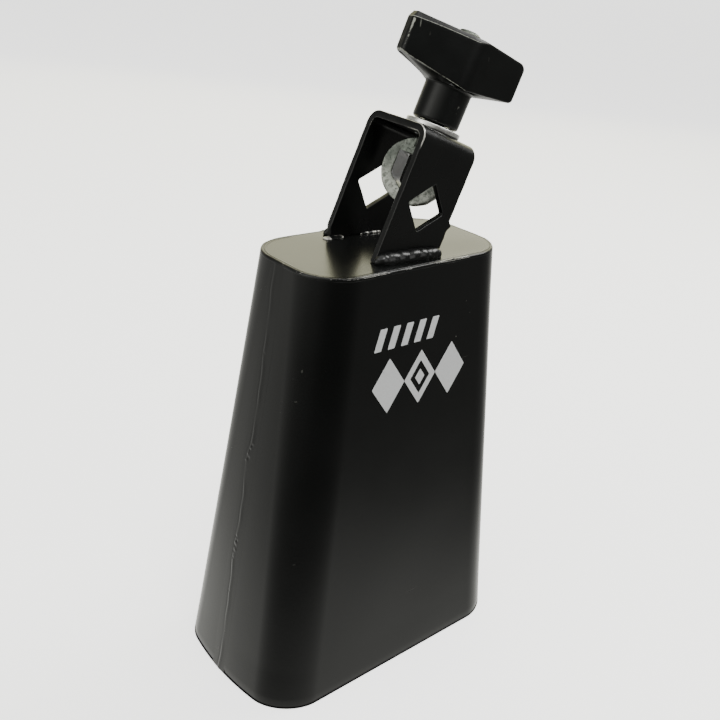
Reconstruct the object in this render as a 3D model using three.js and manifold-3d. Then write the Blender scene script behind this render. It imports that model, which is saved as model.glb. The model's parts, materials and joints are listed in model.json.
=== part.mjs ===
// A sheet-steel cowbell with a rod clamp on its crown: two bent half shells welded along the
// narrow sides, a welded top plate, and a leaning U-shaped strap that holds an eye bolt,
// a washer and a T-handle. Millimetres, +Z up, mouth on z = 0, wide faces along X.

import * as THREE from "three";
import { mergeVertices } from "three/addons/utils/BufferGeometryUtils.js";
import Module from "manifold-3d";

const wasm = await Module();
wasm.setup();

// Bell body: rounded rectangles at the mouth and at the top, joined by ruled walls.
const BODY_HEIGHT = 150;
const MOUTH = { halfWidth: 51.6, halfDepth: 31.6, corner: 13.6, bulge: 4.9 };
const TOP = { halfWidth: 40.2, halfDepth: 20.9, corner: 14.9, bulge: 0 };
const SHEET = 1.2;
const PLATE = 1.5;
const SEAM_HALF_GAP = 0.6;
const SEAM_PROUD = 0.3;
const EDGE_BEAD = 1.1;
const EDGE_BEVEL = 0.4;
const FIT_GAP = 0.3;

// Clamp strap, measured in its own leaning frame: X across the strap, Y through the legs,
// Z along the bolt. Its left foot corner stands on the top plate at CLAMP_FOOT.
const CLAMP_FOOT = [-13.54, 1.12, BODY_HEIGHT];
const LEAN = THREE.MathUtils.degToRad(20.24);
const TURN = THREE.MathUtils.degToRad(-4.84);
const STRAP_WIDTH = 23.2;
const STRAP = 2.3;
const HALF_SPAN = 14.25;
const CROWN = 43.66;
const BEND = 4.65;
const DIAMOND_HEIGHT = 21.07;
const DIAMOND_SIDE = 10.96;
const CROWN_HOLE_RADIUS = 4.6;

// Everything that turns or slides is centred on the bolt axis.
const BOLT_X = 13.3;
const BOLT_Y = -1.35;

// Eye bolt: a flat disc with a V-bottomed window, and an M8 shank.
const EYE_HEIGHT = 30;
const EYE_RADIUS = 10.7;
const EYE_THICKNESS = 4.8;
const EYE_SWIVEL = THREE.MathUtils.degToRad(-56);
const WINDOW_HALF_WIDTH = 6.6;
const WINDOW_TOP = 4.6;
const WINDOW_SHOULDER = -2.8;
const WINDOW_POINT = -7.9;
const SHANK_RADIUS = 3.7;
const SHANK_START = 37;
const SHANK_END = 75.2;

// Washer and T-handle.
const WASHER_RADIUS = 8.9;
const WASHER = 1.6;
const BARREL_RADIUS = 7.7;
const BARREL_START = 45.93;
const WING_HUB_START = 58.8;
const WING_END_START = 62.2;
const HANDLE_TOP = 73.65;
const WING_HALF_LENGTH = 21.6;
const WING_END_RADIUS = 3.6;
const HUB_RADIUS = 8.8;
const HANDLE_BEVEL = 1.8;
const HANDLE_TURN = THREE.MathUtils.degToRad(-12.5);
const INSERT_RADIUS = 5.6;
const INSERT_BORE = 4.1;
const INSERT_LENGTH = 22;
const HANDLE_BORE = 4.4;

// Fillet welds at the strap's feet.
const FOOT_BEAD = 2.6;
const FOOT_LENGTH = STRAP_WIDTH / Math.cos(LEAN);
const TACK_LENGTH = 6.5;

const ROUND = 32;
const CORNER_STEPS = 8;

const blackPaint = { color: 0x1b1c1c, roughness: 0.28, metalness: 0 };
const weldPaint = { color: 0x202120, roughness: 0.22, metalness: 0 };
const zinc = { color: 0x9a9b94, roughness: 0.42, metalness: 1 };
const steel = { color: 0xb8b8b4, roughness: 0.3, metalness: 1 };
const blackPlastic = { color: 0x161717, roughness: 0.35, metalness: 0 };

/** One named sub-part with its own material. */
function part(name, geometry, finish) {
  const mesh = new THREE.Mesh(geometry, new THREE.MeshStandardMaterial(finish));
  mesh.name = name;
  return mesh;
}

/** A three.js geometry as a manifold solid. */
function solid(geometry) {
  const bare = geometry.clone();
  bare.deleteAttribute("normal");
  bare.deleteAttribute("uv");
  const merged = mergeVertices(bare, 1e-4);
  const vertProperties = new Float32Array(merged.attributes.position.array);
  const triVerts = new Uint32Array(merged.index.array);
  return new wasm.Manifold(new wasm.Mesh({ numProp: 3, vertProperties, triVerts }));
}

/** A manifold solid as a three.js geometry. */
function geometryOf(body) {
  const { vertProperties, triVerts } = body.getMesh();
  const geometry = new THREE.BufferGeometry();
  geometry.setAttribute("position", new THREE.BufferAttribute(vertProperties, 3));
  geometry.setIndex(new THREE.BufferAttribute(triVerts, 1));
  geometry.computeVertexNormals();
  return geometry;
}

/** A closed solid between two outlines with the same number of points, one above the other. */
function loft(low, high, height) {
  const count = low.length;
  const ring = (outline, z) => outline.flatMap((point) => [point.x, point.y, z]);
  const index = [];
  for (let i = 0; i < count; i += 1) {
    const next = (i + 1) % count;
    index.push(i, next, count + next, i, count + next, count + i);
  }
  for (const [a, b, c] of THREE.ShapeUtils.triangulateShape(low, [])) {
    index.push(c, b, a);
  }
  for (const [a, b, c] of THREE.ShapeUtils.triangulateShape(high, [])) {
    index.push(count + a, count + b, count + c);
  }
  const geometry = new THREE.BufferGeometry();
  const positions = [...ring(low, 0), ...ring(high, height)];
  geometry.setAttribute("position", new THREE.Float32BufferAttribute(positions, 3));
  geometry.setIndex(index);
  geometry.computeVertexNormals();
  return geometry;
}

/** A section drawn in (y, z), extruded along +X. */
function extrudeAlongX(shape, length) {
  const geometry = new THREE.ExtrudeGeometry(shape, {
    depth: length,
    bevelEnabled: false,
    curveSegments: CORNER_STEPS,
  });
  const y = new THREE.Vector3(0, 1, 0);
  const z = new THREE.Vector3(0, 0, 1);
  const x = new THREE.Vector3(1, 0, 0);
  return geometry.applyMatrix4(new THREE.Matrix4().makeBasis(y, z, x));
}

/** A ring or disc turned about Z from a closed list of [radius, z] points. */
function turned(profile) {
  const points = profile.map(([radius, z]) => new THREE.Vector2(radius, z));
  return new THREE.LatheGeometry(points, ROUND).rotateX(Math.PI / 2);
}

/** The front half of a bell outline, from the left seam to the right seam, moved in by inset. */
function frontHalf(end, inset) {
  const width = end.halfWidth - inset;
  const depth = end.halfDepth - inset;
  const radius = end.corner - inset;
  const sideSteps = 5;
  const side = (k) => -SEAM_HALF_GAP + (k / sideSteps) * (SEAM_HALF_GAP - depth + radius);
  const path = new THREE.Path().moveTo(-width, -SEAM_HALF_GAP);
  for (let k = 1; k <= sideSteps; k += 1) {
    path.lineTo(-width, side(k));
  }
  path.absarc(-width + radius, -depth + radius, radius, Math.PI, 1.5 * Math.PI, false);
  path.absarc(width - radius, -depth + radius, radius, 1.5 * Math.PI, 2 * Math.PI, false);
  for (let k = sideSteps - 1; k >= 0; k -= 1) {
    path.lineTo(width, side(k));
  }
  return path.getPoints(CORNER_STEPS).map((point) => {
    const swell = end.bulge * (1 - (point.y / end.halfDepth) ** 2);
    return new THREE.Vector2(point.x + (point.x / end.halfWidth) * swell, point.y);
  });
}

/** One bent half of the body: a wall of sheet between two similar half outlines. */
function halfShell() {
  const section = (end) => [...frontHalf(end, 0), ...frontHalf(end, SHEET).reverse()];
  return loft(section(MOUTH), section(TOP), BODY_HEIGHT - PLATE - FIT_GAP);
}

/** The weld between the half shells, on the left narrow side. */
function seamWeld() {
  const half = SEAM_HALF_GAP - FIT_GAP;
  const section = (end) => {
    const face = -end.halfWidth - end.bulge;
    const inner = face + SHEET;
    const outer = face - SEAM_PROUD;
    return [[outer, -half], [inner, -half], [inner, half], [outer, half]].map(
      ([x, y]) => new THREE.Vector2(x, y),
    );
  };
  return loft(section(MOUTH), section(TOP), BODY_HEIGHT - PLATE - FIT_GAP);
}

/** The closed outline of the top plate or of its weld, moved in by inset. */
function topOutline(inset) {
  const width = TOP.halfWidth - inset;
  const depth = TOP.halfDepth - inset;
  const radius = TOP.corner - inset;
  const shape = new THREE.Shape();
  shape.absarc(width - radius, -depth + radius, radius, -Math.PI / 2, 0, false);
  shape.absarc(width - radius, depth - radius, radius, 0, Math.PI / 2, false);
  shape.absarc(-width + radius, depth - radius, radius, Math.PI / 2, Math.PI, false);
  shape.absarc(-width + radius, -depth + radius, radius, Math.PI, 1.5 * Math.PI, false);
  return shape;
}

/** The flat plate that closes the narrow end. */
function topPlate() {
  const plate = new THREE.ExtrudeGeometry(topOutline(EDGE_BEAD + FIT_GAP), {
    depth: PLATE,
    bevelEnabled: false,
    curveSegments: CORNER_STEPS,
  });
  return plate.translate(0, 0, BODY_HEIGHT - PLATE);
}

/** The ground weld that runs round the plate's edge. */
function topEdgeWeld() {
  const outline = topOutline(0);
  outline.holes.push(topOutline(EDGE_BEAD));
  const bead = new THREE.ExtrudeGeometry(outline, {
    depth: PLATE - 2 * EDGE_BEVEL,
    bevelThickness: EDGE_BEVEL,
    bevelSize: EDGE_BEVEL / 2,
    bevelOffset: -EDGE_BEVEL / 2,
    bevelSegments: 1,
    curveSegments: CORNER_STEPS,
  });
  return bead.translate(0, 0, BODY_HEIGHT - PLATE + EDGE_BEVEL);
}

/** The inverted U of the clamp strap, from below its feet up to the crown. */
function strapSection() {
  const below = -1;
  const bendHeight = CROWN - BEND;
  const bendIn = HALF_SPAN - BEND;
  const inside = HALF_SPAN - STRAP;
  const shape = new THREE.Shape();
  shape.moveTo(HALF_SPAN, below);
  shape.absarc(bendIn, bendHeight, BEND, 0, Math.PI / 2, false);
  shape.absarc(-bendIn, bendHeight, BEND, Math.PI / 2, Math.PI, false);
  shape.lineTo(-HALF_SPAN, below);
  shape.lineTo(-inside, below);
  shape.absarc(-bendIn, bendHeight, BEND - STRAP, Math.PI, Math.PI / 2, true);
  shape.absarc(bendIn, bendHeight, BEND - STRAP, Math.PI / 2, 0, true);
  shape.lineTo(inside, below);
  shape.closePath();
  return shape;
}

/** The strap with its feet cut level, a diamond through both legs and a hole in the crown. */
function clampBracket() {
  const reach = 100;
  const ground = new THREE.BoxGeometry(reach, reach, reach);
  ground.translate(0, 0, FIT_GAP - reach / 2).rotateY(-LEAN);
  const diamond = new THREE.BoxGeometry(DIAMOND_SIDE, reach, DIAMOND_SIDE);
  diamond.rotateY(Math.PI / 4).translate(STRAP_WIDTH / 2, 0, DIAMOND_HEIGHT);
  const hole = new THREE.CylinderGeometry(CROWN_HOLE_RADIUS, CROWN_HOLE_RADIUS, 4 * STRAP, ROUND);
  hole.rotateX(Math.PI / 2).translate(BOLT_X, BOLT_Y, CROWN);
  const strap = solid(extrudeAlongX(strapSection(), STRAP_WIDTH));
  return geometryOf(strap.subtract(solid(ground)).subtract(solid(diamond)).subtract(solid(hole)));
}

/** A fillet weld along X, in the corner of a plate and a leg whose face looks along side. */
function footBead(length, side) {
  const size = FOOT_BEAD;
  const profile = [[0, 0], [size, 0], [0.95 * size, 0.35 * size], [0.4 * size, 0.9 * size], [0, size]];
  const shape = new THREE.Shape(profile.map(([out, up]) => new THREE.Vector2(side * out, up)));
  return extrudeAlongX(shape, length);
}

/** The eye bolt about its own axis: a disc with a V-bottomed window, and its shank. */
function eyeBolt() {
  const disc = new THREE.CylinderGeometry(EYE_RADIUS, EYE_RADIUS, EYE_THICKNESS, ROUND);
  const window = new THREE.Shape([
    new THREE.Vector2(-WINDOW_HALF_WIDTH, WINDOW_TOP),
    new THREE.Vector2(-WINDOW_HALF_WIDTH, WINDOW_SHOULDER),
    new THREE.Vector2(0, WINDOW_POINT),
    new THREE.Vector2(WINDOW_HALF_WIDTH, WINDOW_SHOULDER),
    new THREE.Vector2(WINDOW_HALF_WIDTH, WINDOW_TOP),
  ]);
  const cutter = new THREE.ExtrudeGeometry(window, {
    depth: 2 * EYE_THICKNESS,
    bevelEnabled: false,
  });
  cutter.translate(0, 0, -EYE_THICKNESS).rotateX(Math.PI / 2);
  const eye = solid(disc).subtract(solid(cutter));
  const chamfer = 0.8;
  const shank = turned([
    [0, SHANK_START - EYE_HEIGHT],
    [SHANK_RADIUS - chamfer, SHANK_START - EYE_HEIGHT],
    [SHANK_RADIUS, SHANK_START - EYE_HEIGHT + chamfer],
    [SHANK_RADIUS, SHANK_END - EYE_HEIGHT - chamfer],
    [SHANK_RADIUS - chamfer, SHANK_END - EYE_HEIGHT],
    [0, SHANK_END - EYE_HEIGHT],
  ]);
  return geometryOf(eye.add(solid(shank)));
}

/** A flat washer standing on z = 0. */
function flatWasher() {
  const inner = SHANK_RADIUS + 0.5;
  return turned([
    [inner, 0],
    [WASHER_RADIUS, 0],
    [WASHER_RADIUS, WASHER],
    [inner, WASHER],
    [inner, 0],
  ]);
}

/** The wings seen from above: a round hub drawn out to two small round ends. */
function wingPlan() {
  const reach = WING_HALF_LENGTH - WING_END_RADIUS;
  const slant = Math.asin((HUB_RADIUS - WING_END_RADIUS) / reach);
  const up = Math.PI / 2;
  const shape = new THREE.Shape();
  shape.absarc(reach, 0, WING_END_RADIUS, slant - up, up - slant, false);
  shape.absarc(0, 0, HUB_RADIUS, up - slant, up + slant, false);
  shape.absarc(-reach, 0, WING_END_RADIUS, up + slant, 3 * up - slant, false);
  shape.absarc(0, 0, HUB_RADIUS, 3 * up - slant, 3 * up + slant, false);
  return shape;
}

/** The T-handle about the bolt axis: bevelled wings with a sloping underside, and a barrel. */
function tHandle() {
  const plan = new THREE.ExtrudeGeometry(wingPlan(), {
    depth: HANDLE_TOP - WING_HUB_START,
    bevelThickness: HANDLE_BEVEL,
    bevelSize: HANDLE_BEVEL,
    bevelOffset: -HANDLE_BEVEL,
    bevelSegments: 2,
    curveSegments: CORNER_STEPS,
  });
  plan.translate(0, 0, WING_HUB_START - HANDLE_BEVEL);
  const side = new THREE.Shape([
    new THREE.Vector2(-WING_HALF_LENGTH, WING_END_START),
    new THREE.Vector2(-BARREL_RADIUS, WING_HUB_START),
    new THREE.Vector2(BARREL_RADIUS, WING_HUB_START),
    new THREE.Vector2(WING_HALF_LENGTH, WING_END_START),
    new THREE.Vector2(WING_HALF_LENGTH, HANDLE_TOP),
    new THREE.Vector2(-WING_HALF_LENGTH, HANDLE_TOP),
  ]);
  const sideCut = new THREE.ExtrudeGeometry(side, { depth: 4 * HUB_RADIUS, bevelEnabled: false });
  sideCut.translate(0, 0, -2 * HUB_RADIUS).rotateX(Math.PI / 2);
  const wings = solid(plan).intersect(solid(sideCut));
  const rim = 1;
  const barrel = turned([
    [0, BARREL_START],
    [BARREL_RADIUS - rim, BARREL_START],
    [BARREL_RADIUS, BARREL_START + rim],
    [BARREL_RADIUS, WING_HUB_START + 2],
    [0, WING_HUB_START + 2],
  ]);
  const bore = turned([
    [0, BARREL_START - 1],
    [INSERT_RADIUS + FIT_GAP, BARREL_START - 1],
    [INSERT_RADIUS + FIT_GAP, BARREL_START + INSERT_LENGTH + 2 * FIT_GAP],
    [HANDLE_BORE, BARREL_START + INSERT_LENGTH + 2 * FIT_GAP],
    [HANDLE_BORE, HANDLE_TOP + 1],
    [0, HANDLE_TOP + 1],
  ]);
  return geometryOf(wings.add(solid(barrel)).subtract(solid(bore)));
}

/** The threaded steel bush inside the handle. */
function handleInsert() {
  const start = BARREL_START + FIT_GAP;
  const end = start + INSERT_LENGTH;
  return turned([
    [INSERT_BORE, start],
    [INSERT_RADIUS, start],
    [INSERT_RADIUS, end],
    [INSERT_BORE, end],
    [INSERT_BORE, start],
  ]);
}

/** Shells, seams, top plate and its edge weld. */
function bellBody() {
  const body = new THREE.Group();
  const rear = part("rear_shell", halfShell(), blackPaint);
  rear.rotation.z = Math.PI;
  const rightSeam = part("right_seam_weld", seamWeld(), weldPaint);
  rightSeam.rotation.z = Math.PI;
  body.add(
    part("front_shell", halfShell(), blackPaint),
    rear,
    part("left_seam_weld", seamWeld(), weldPaint),
    rightSeam,
    part("top_plate", topPlate(), blackPaint),
    part("top_edge_weld", topEdgeWeld(), weldPaint),
  );
  return body;
}

/** The welds that hold the strap's feet, in a level frame turned with the strap. */
function footWelds() {
  const welds = new THREE.Group();
  welds.position.set(...CLAMP_FOOT);
  welds.rotation.z = TURN;
  const outside = HALF_SPAN + FIT_GAP;
  const inside = HALF_SPAN - STRAP - FIT_GAP;
  const place = (name, length, side, x, y) => {
    const weld = part(name, footBead(length, side), weldPaint);
    weld.position.set(x, y, FIT_GAP);
    welds.add(weld);
  };
  place("near_foot_weld", FOOT_LENGTH, -1, 0, -outside);
  place("far_foot_weld", FOOT_LENGTH, 1, 0, outside);
  place("left_foot_tack", TACK_LENGTH, -1, 0, inside);
  place("right_foot_tack", TACK_LENGTH, -1, FOOT_LENGTH - 1.5 * TACK_LENGTH, inside);
  return welds;
}

/** The strap and everything on the bolt axis, in the leaning frame. */
function clamp() {
  const frame = new THREE.Group();
  frame.position.set(...CLAMP_FOOT);
  frame.rotation.order = "ZYX";
  frame.rotation.set(0, LEAN, TURN);
  const axis = new THREE.Group();
  axis.position.set(BOLT_X, BOLT_Y, 0);
  const eye = part("eye_bolt", eyeBolt(), zinc);
  eye.position.z = EYE_HEIGHT;
  eye.rotation.z = EYE_SWIVEL;
  const washer = part("flat_washer", flatWasher(), zinc);
  washer.position.z = CROWN + FIT_GAP;
  const handle = part("t_handle", tHandle(), blackPlastic);
  handle.rotation.z = HANDLE_TURN;
  axis.add(eye, washer, handle, part("handle_insert", handleInsert(), steel));
  frame.add(part("clamp_bracket", clampBracket(), blackPaint), axis);
  return frame;
}

const group = new THREE.Group();
group.add(bellBody(), footWelds(), clamp());

export default group;
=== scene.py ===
"""Looks of a black sheet-steel cowbell with a rod clamp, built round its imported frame.

Every piece is a surface worked out with numpy: a grid of points that closes on itself, written
as a function of two parameters. Lengths are metres, +Z is up and the mouth is on z = 0.
"""

import json
import math

import bmesh
import bpy
import numpy as np
from mathutils import Matrix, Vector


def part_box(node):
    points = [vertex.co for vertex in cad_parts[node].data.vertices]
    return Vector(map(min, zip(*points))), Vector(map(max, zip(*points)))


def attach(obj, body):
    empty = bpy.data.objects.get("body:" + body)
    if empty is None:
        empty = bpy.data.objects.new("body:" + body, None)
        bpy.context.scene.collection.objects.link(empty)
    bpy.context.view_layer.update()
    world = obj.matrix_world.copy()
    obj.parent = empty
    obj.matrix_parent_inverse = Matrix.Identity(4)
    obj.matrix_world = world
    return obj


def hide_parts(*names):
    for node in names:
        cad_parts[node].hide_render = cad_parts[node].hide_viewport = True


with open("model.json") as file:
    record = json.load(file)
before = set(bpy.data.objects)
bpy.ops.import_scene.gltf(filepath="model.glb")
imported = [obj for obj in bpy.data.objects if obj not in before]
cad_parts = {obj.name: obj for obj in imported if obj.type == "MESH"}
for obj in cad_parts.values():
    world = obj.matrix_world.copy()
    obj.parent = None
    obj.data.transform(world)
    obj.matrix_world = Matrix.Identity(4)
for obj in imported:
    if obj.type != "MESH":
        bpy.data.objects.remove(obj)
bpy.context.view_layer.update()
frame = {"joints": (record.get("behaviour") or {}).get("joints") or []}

bl_info = {
    "name": "Cowbell with rod clamp",
    "version": (1, 0, 0),
    "blender": (4, 5, 0),
    "location": "View3D > Sidebar > Cowbell",
    "description": "Builds the shells, welds, clamp, eye bolt and T-handle of a cowbell",
    "category": "Object",
}

MM = 0.001
# Name of the attribute with each piece's wear, which on the eye is painted light and on the plate's edge
# weld a painted highlight.
WEAR_AND_LIGHT = "wear"

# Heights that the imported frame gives.
BODY_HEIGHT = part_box("top_plate")[1].z
WALL_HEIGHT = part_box("front_shell")[1].z
SHELL_TOP = BODY_HEIGHT - 0.75 * MM

# The bolt axis and the clamp's lean and turn, from the handle's joint.
HANDLE_JOINT = next(joint for joint in frame["joints"] if joint["name"] == "handle_turn")
BOLT_DIRECTION = np.array(HANDLE_JOINT["axis"])
LEAN = math.acos(BOLT_DIRECTION[2])
TURN = math.atan2(BOLT_DIRECTION[1], BOLT_DIRECTION[0])

# Where the bolt axis crosses the clamp's own frame, and the crown's outer face.
BOLT_X = 13.3 * MM
BOLT_Y = -1.35 * MM
CROWN = 43.66 * MM

# Heights along the bolt axis, above the strap's foot.
EYE_HEIGHT = 30 * MM
WASHER_FOOT = CROWN + 0.2 * MM
BARREL_FOOT = 45.93 * MM
HUB_UNDER = 57.7 * MM
HANDLE_TOP = 73.52 * MM
INSERT_ENDS = (46.3 * MM, 68.1 * MM)

# The shank's ends from the eye's centre, and how far the eye is turned about the bolt.
SHANK_ENDS = (7.2 * MM, 45.1 * MM)
EYE_TURN = math.radians(-56)

# The thread's depth, the plain neck above the eye and the rounded tip.
THREAD_DEPTH = 0.5 * MM
PLAIN_NECK = 3 * MM
BOLT_TIP = 0.8 * MM

# Radii of the washer's hole, the insert's seat in the handle and the bore above it; its depth.
WASHER_HOLE = 4.2 * MM
SEAT_RADIUS = 5.8 * MM
BORE_RADIUS = 4.4 * MM
SEAT_DEPTH = 22.5 * MM

# Rise of the wings' underside for each step outwards, and how much the barrel narrows downwards.
WING_SLOPE = 0.155
DRAFT = 0.12 * MM


class End:
    """One end of the bell's wall seen from above: a rounded rectangle with swelled short sides."""

    def __init__(self, half_width, half_depth, corner, bulge):
        self.half_width = half_width * MM
        self.half_depth = half_depth * MM
        self.corner = corner * MM
        self.bulge = bulge * MM


MOUTH = End(51.6, 31.6, 13.6, 4.9)
TOP = End(40.2, 20.9, 14.9, 0)

# Half the gap between the two shells, under the seam.
SHELL_GAP = 0.3 * MM

# What points are multiplied by to turn half round about Z.
HALF_TURN = np.array([-1, -1, 1])


# ---------------------------------------------------------------- settings


def length(name, description, millimetres):
    """A length property whose default is given in millimetres."""
    return bpy.props.FloatProperty(
        name=name, description=description, default=millimetres * MM, unit="LENGTH", precision=4
    )


def angle(name, description, degrees):
    """An angle property whose default is given in degrees."""
    return bpy.props.FloatProperty(
        name=name, description=description, default=math.radians(degrees), subtype="ANGLE"
    )


def colour(name, description, rgb):
    """A linear colour property."""
    return bpy.props.FloatVectorProperty(
        name=name, description=description, default=rgb, subtype="COLOR", size=3, min=0, max=1
    )


def share(name, description, value):
    """A plain number from 0 to 1."""
    return bpy.props.FloatProperty(
        name=name, description=description, default=value, subtype="FACTOR", min=0, max=1
    )


def power(name, description, watts):
    """A light's power."""
    return bpy.props.FloatProperty(
        name=name, description=description, default=watts, unit="POWER", min=0
    )


class BellSettings(bpy.types.PropertyGroup):
    """Sizes and colours of the bell's body."""

    sheet: length("Sheet", "Thickness of the wall", 1.2)
    rim: length("Rim rounding", "Radius of the wall's worn edge at the mouth", 0.4)
    waviness: length("Waviness", "How far the bent sheet strays from a true surface", 0.05)
    seam_width: length("Seam width", "Half the width of the filled and ground seam", 3.6)
    seam_height: length("Seam height", "How far the seam stands proud", 0.065)
    edge_round: length("Edge rounding", "Radius of the ground weld round the top plate", 0.5)
    paint: colour("Paint", "Powder coat on the body", (0.0042, 0.0046, 0.0044))
    paint_roughness: share("Paint roughness", "Roughness of the body's paint", 0.21)
    plate_roughness: share("Plate roughness", "Roughness of the top plate's paint", 0.20)
    print_ink: colour("Print", "Silver-grey ink of the badge", (0.80, 0.81, 0.82))


class ClampSettings(bpy.types.PropertyGroup):
    """Sizes and colours of the strap, its welds, the eye bolt and the washer."""

    width: length("Strap width", "Width of the flat steel", 23.2)
    strap: length("Strap thickness", "Thickness of the flat steel", 2.3)
    half_span: length("Half span", "From the middle to a leg's outer face", 14.25)
    bend: length("Bend", "Outer radius of the two bends", 4.65)
    diamond_height: length("Diamond height", "Centre of the diamonds above the foot", 21.07)
    diamond_side: length("Diamond side", "Side of the diamond holes", 10.96)
    crown_hole: length("Crown hole", "Radius of the bolt's hole", 4.6)
    edge: length("Edge rounding", "Rounding of the strap's cut edges", 0.28)
    bead: length("Weld bead", "Leg length of the fillet welds", 2.9)
    eye_radius: length("Eye radius", "Outer radius of the eye", 10.7)
    eye_thickness: length("Eye thickness", "Thickness of the eye", 4.8)
    shank: length("Shank radius", "Outer radius of the thread", 3.75)
    pitch: length("Pitch", "Rise of one turn of the thread", 1.25)
    washer_radius: length("Washer radius", "Outer radius of the washer", 8.9)
    washer: length("Washer thickness", "Thickness of the washer", 1.6)
    zinc: colour("Zinc", "Dull zinc of the eye bolt", (0.30, 0.315, 0.285))
    bright_zinc: colour("Bright zinc", "Zinc of the washer", (0.86, 0.86, 0.83))


class HandleSettings(bpy.types.PropertyGroup):
    """Sizes and colours of the T-handle."""

    barrel: length("Barrel radius", "Radius of the round stem", 7.7)
    hub: length("Hub radius", "Radius of the middle of the wings", 8.8)
    left_length: length("Left length", "From the bolt axis to the left wing's tip", 21.1)
    right_length: length("Right length", "From the bolt axis to the right wing's tip", 22.5)
    tip: length("Tip half depth", "Half the depth of a wing's flat end", 2.8)
    tip_corner: length("Tip corner", "Radius of the corners of a wing's end", 1.6)
    bevel: length("Bevel", "Bevel round the top at the hub", 0.85)
    end_bevel: length("End bevel", "How much larger the bevel is at the wings' ends", 0.6)
    side_edge: length("Side edge", "Rounding along the wings' lower edges", 0.4)
    end_edge: length("End edge", "Rounding of the wings' lower ends", 1.3)
    turn: angle("Turn", "Turn of the wings about the bolt axis", -12.5)
    plastic: colour("Plastic", "Moulded plastic", (0.0032, 0.0037, 0.0035))
    scuff: colour("Scuffs", "Plastic worn pale along the edges", (0.42, 0.43, 0.38))


class StageSettings(bpy.types.PropertyGroup):
    """Camera, lights and floor."""

    azimuth: angle("Azimuth", "Direction from the bell to the camera, from +X", -132.95)
    elevation: angle("Elevation", "Height of the camera above the horizon", 24.97)
    roll: angle("Roll", "Turn of the camera about its own axis", 5.87)
    distance: length("Distance", "Camera to the middle of the bell's body", 323.4)
    rise: length("Rise", "Camera moved up its own frame", 30.45)
    lens: bpy.props.FloatProperty(
        name="Lens", description="Focal length", default=45.12, unit="CAMERA"
    )
    back_card: power("Back card", "Soft light that the top plate mirrors", 4.3)
    overhead: power("Overhead", "Large soft light above", 9.0)
    side_card: power("Side card", "Small soft light that the front edges mirror", 6.5)
    key: power("Key", "Small high light that the weld beads mirror", 3.0)
    front_fill: power("Front fill", "Soft light on the front face", 3.4)
    floor: colour("Floor", "Pale floor", (0.86, 0.86, 0.85))


SETTINGS = {
    "cowbell_bell": BellSettings,
    "cowbell_clamp": ClampSettings,
    "cowbell_handle": HandleSettings,
    "cowbell_stage": StageSettings,
}


# ---------------------------------------------------------------- surfaces


def signed_volume(vertices, faces):
    """Sum over quads of the tetrahedra to the origin: positive if the faces look outwards."""
    a, b, c, d = (vertices[faces[:, k]] for k in range(4))
    corner = np.einsum("ij,ij->i", a, np.cross(b, c)) + np.einsum("ij,ij->i", a, np.cross(c, d))
    return corner.sum() / 6


def grid_quads(rows, cols, wrap_rows, wrap_cols=True):
    """Quads between neighbours of a grid, round the ends of each direction that wraps."""
    row, col = np.meshgrid(
        np.arange(rows if wrap_rows else rows - 1),
        np.arange(cols if wrap_cols else cols - 1),
        indexing="ij",
    )
    next_row = (row + 1) % rows
    next_col = (col + 1) % cols
    ring = [row * cols + col, next_row * cols + col, next_row * cols + next_col]
    return np.stack([*ring, row * cols + next_col], -1).reshape(-1, 4)


def cap_quads(cols):
    """Quads that fill a loop of points: point i is joined to point n - 1 - i."""
    i = np.arange(cols // 2 - 1)
    return np.stack([i, i + 1, cols - 2 - i, cols - 1 - i], -1)


def closed(points, wrap_rows=False):
    """Vertices and outward quads of a (rows, cols, 3) grid whose columns close in a loop.

    If the rows don't wrap, each end loop is filled.
    """
    rows, cols = points.shape[:2]
    faces = grid_quads(rows, cols, wrap_rows)
    if not wrap_rows:
        cap = cap_quads(cols)
        faces = np.concatenate([faces, cap, (rows - 1) * cols + cap[:, ::-1]])
    vertices = points.reshape(-1, 3)
    if signed_volume(vertices, faces) < 0:
        faces = faces[:, ::-1]
    return vertices, faces


def swelled(points, amount, wrap_rows=False):
    """The grid moved outwards by amount along its normals, the cross product of its two slopes."""
    if wrap_rows:
        along = np.roll(points, -1, 0) - np.roll(points, 1, 0)
    else:
        along = np.gradient(points, axis=0)
    across = np.roll(points, -1, 1) - np.roll(points, 1, 1)
    normal = np.cross(along, across)
    normal /= np.maximum(np.linalg.norm(normal, axis=-1, keepdims=True), 1e-15)
    vertices = points.reshape(-1, 3)
    if signed_volume(vertices, grid_quads(*points.shape[:2], wrap_rows)) < 0:
        normal = -normal
    return points + normal * np.asarray(amount)[..., None]


def ripple(points, wavelength, seed, octaves=3):
    """Smooth random waves through space: sines in random directions, shorter and weaker by octave."""
    random = np.random.default_rng(seed)
    total = np.zeros(points.shape[:-1])
    for octave in range(octaves):
        finer = 1.8**octave
        directions = random.normal(size=(6, 3))
        directions /= np.linalg.norm(directions, axis=1, keepdims=True)
        phases = random.uniform(0, 2 * math.pi, 6)
        waves = np.sin(points @ directions.T * (2 * math.pi * finer / wavelength) + phases)
        total += waves.mean(-1) * 2.4 / finer
    return total


def raised(plan, height):
    """Plan points (x, y) with their heights as the third coordinate."""
    return np.concatenate([plan, np.broadcast_to(height, plan.shape[:-1])[..., None]], -1)


def around(radius, theta, height):
    """Points at a radius and an angle about Z, at a height."""
    flat = np.broadcast_arrays(radius * np.cos(theta), radius * np.sin(theta), height)
    return np.stack(flat, -1)


def bump_at(values, centre, half_width):
    """A smooth bump of height 1: a Gaussian of the distance from centre."""
    return np.exp(-(((values - centre) / half_width) ** 2))


def angles(count):
    """Evenly spaced angles round a circle, without the last that would repeat the first."""
    return np.linspace(0, 2 * math.pi, count, endpoint=False)


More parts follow.
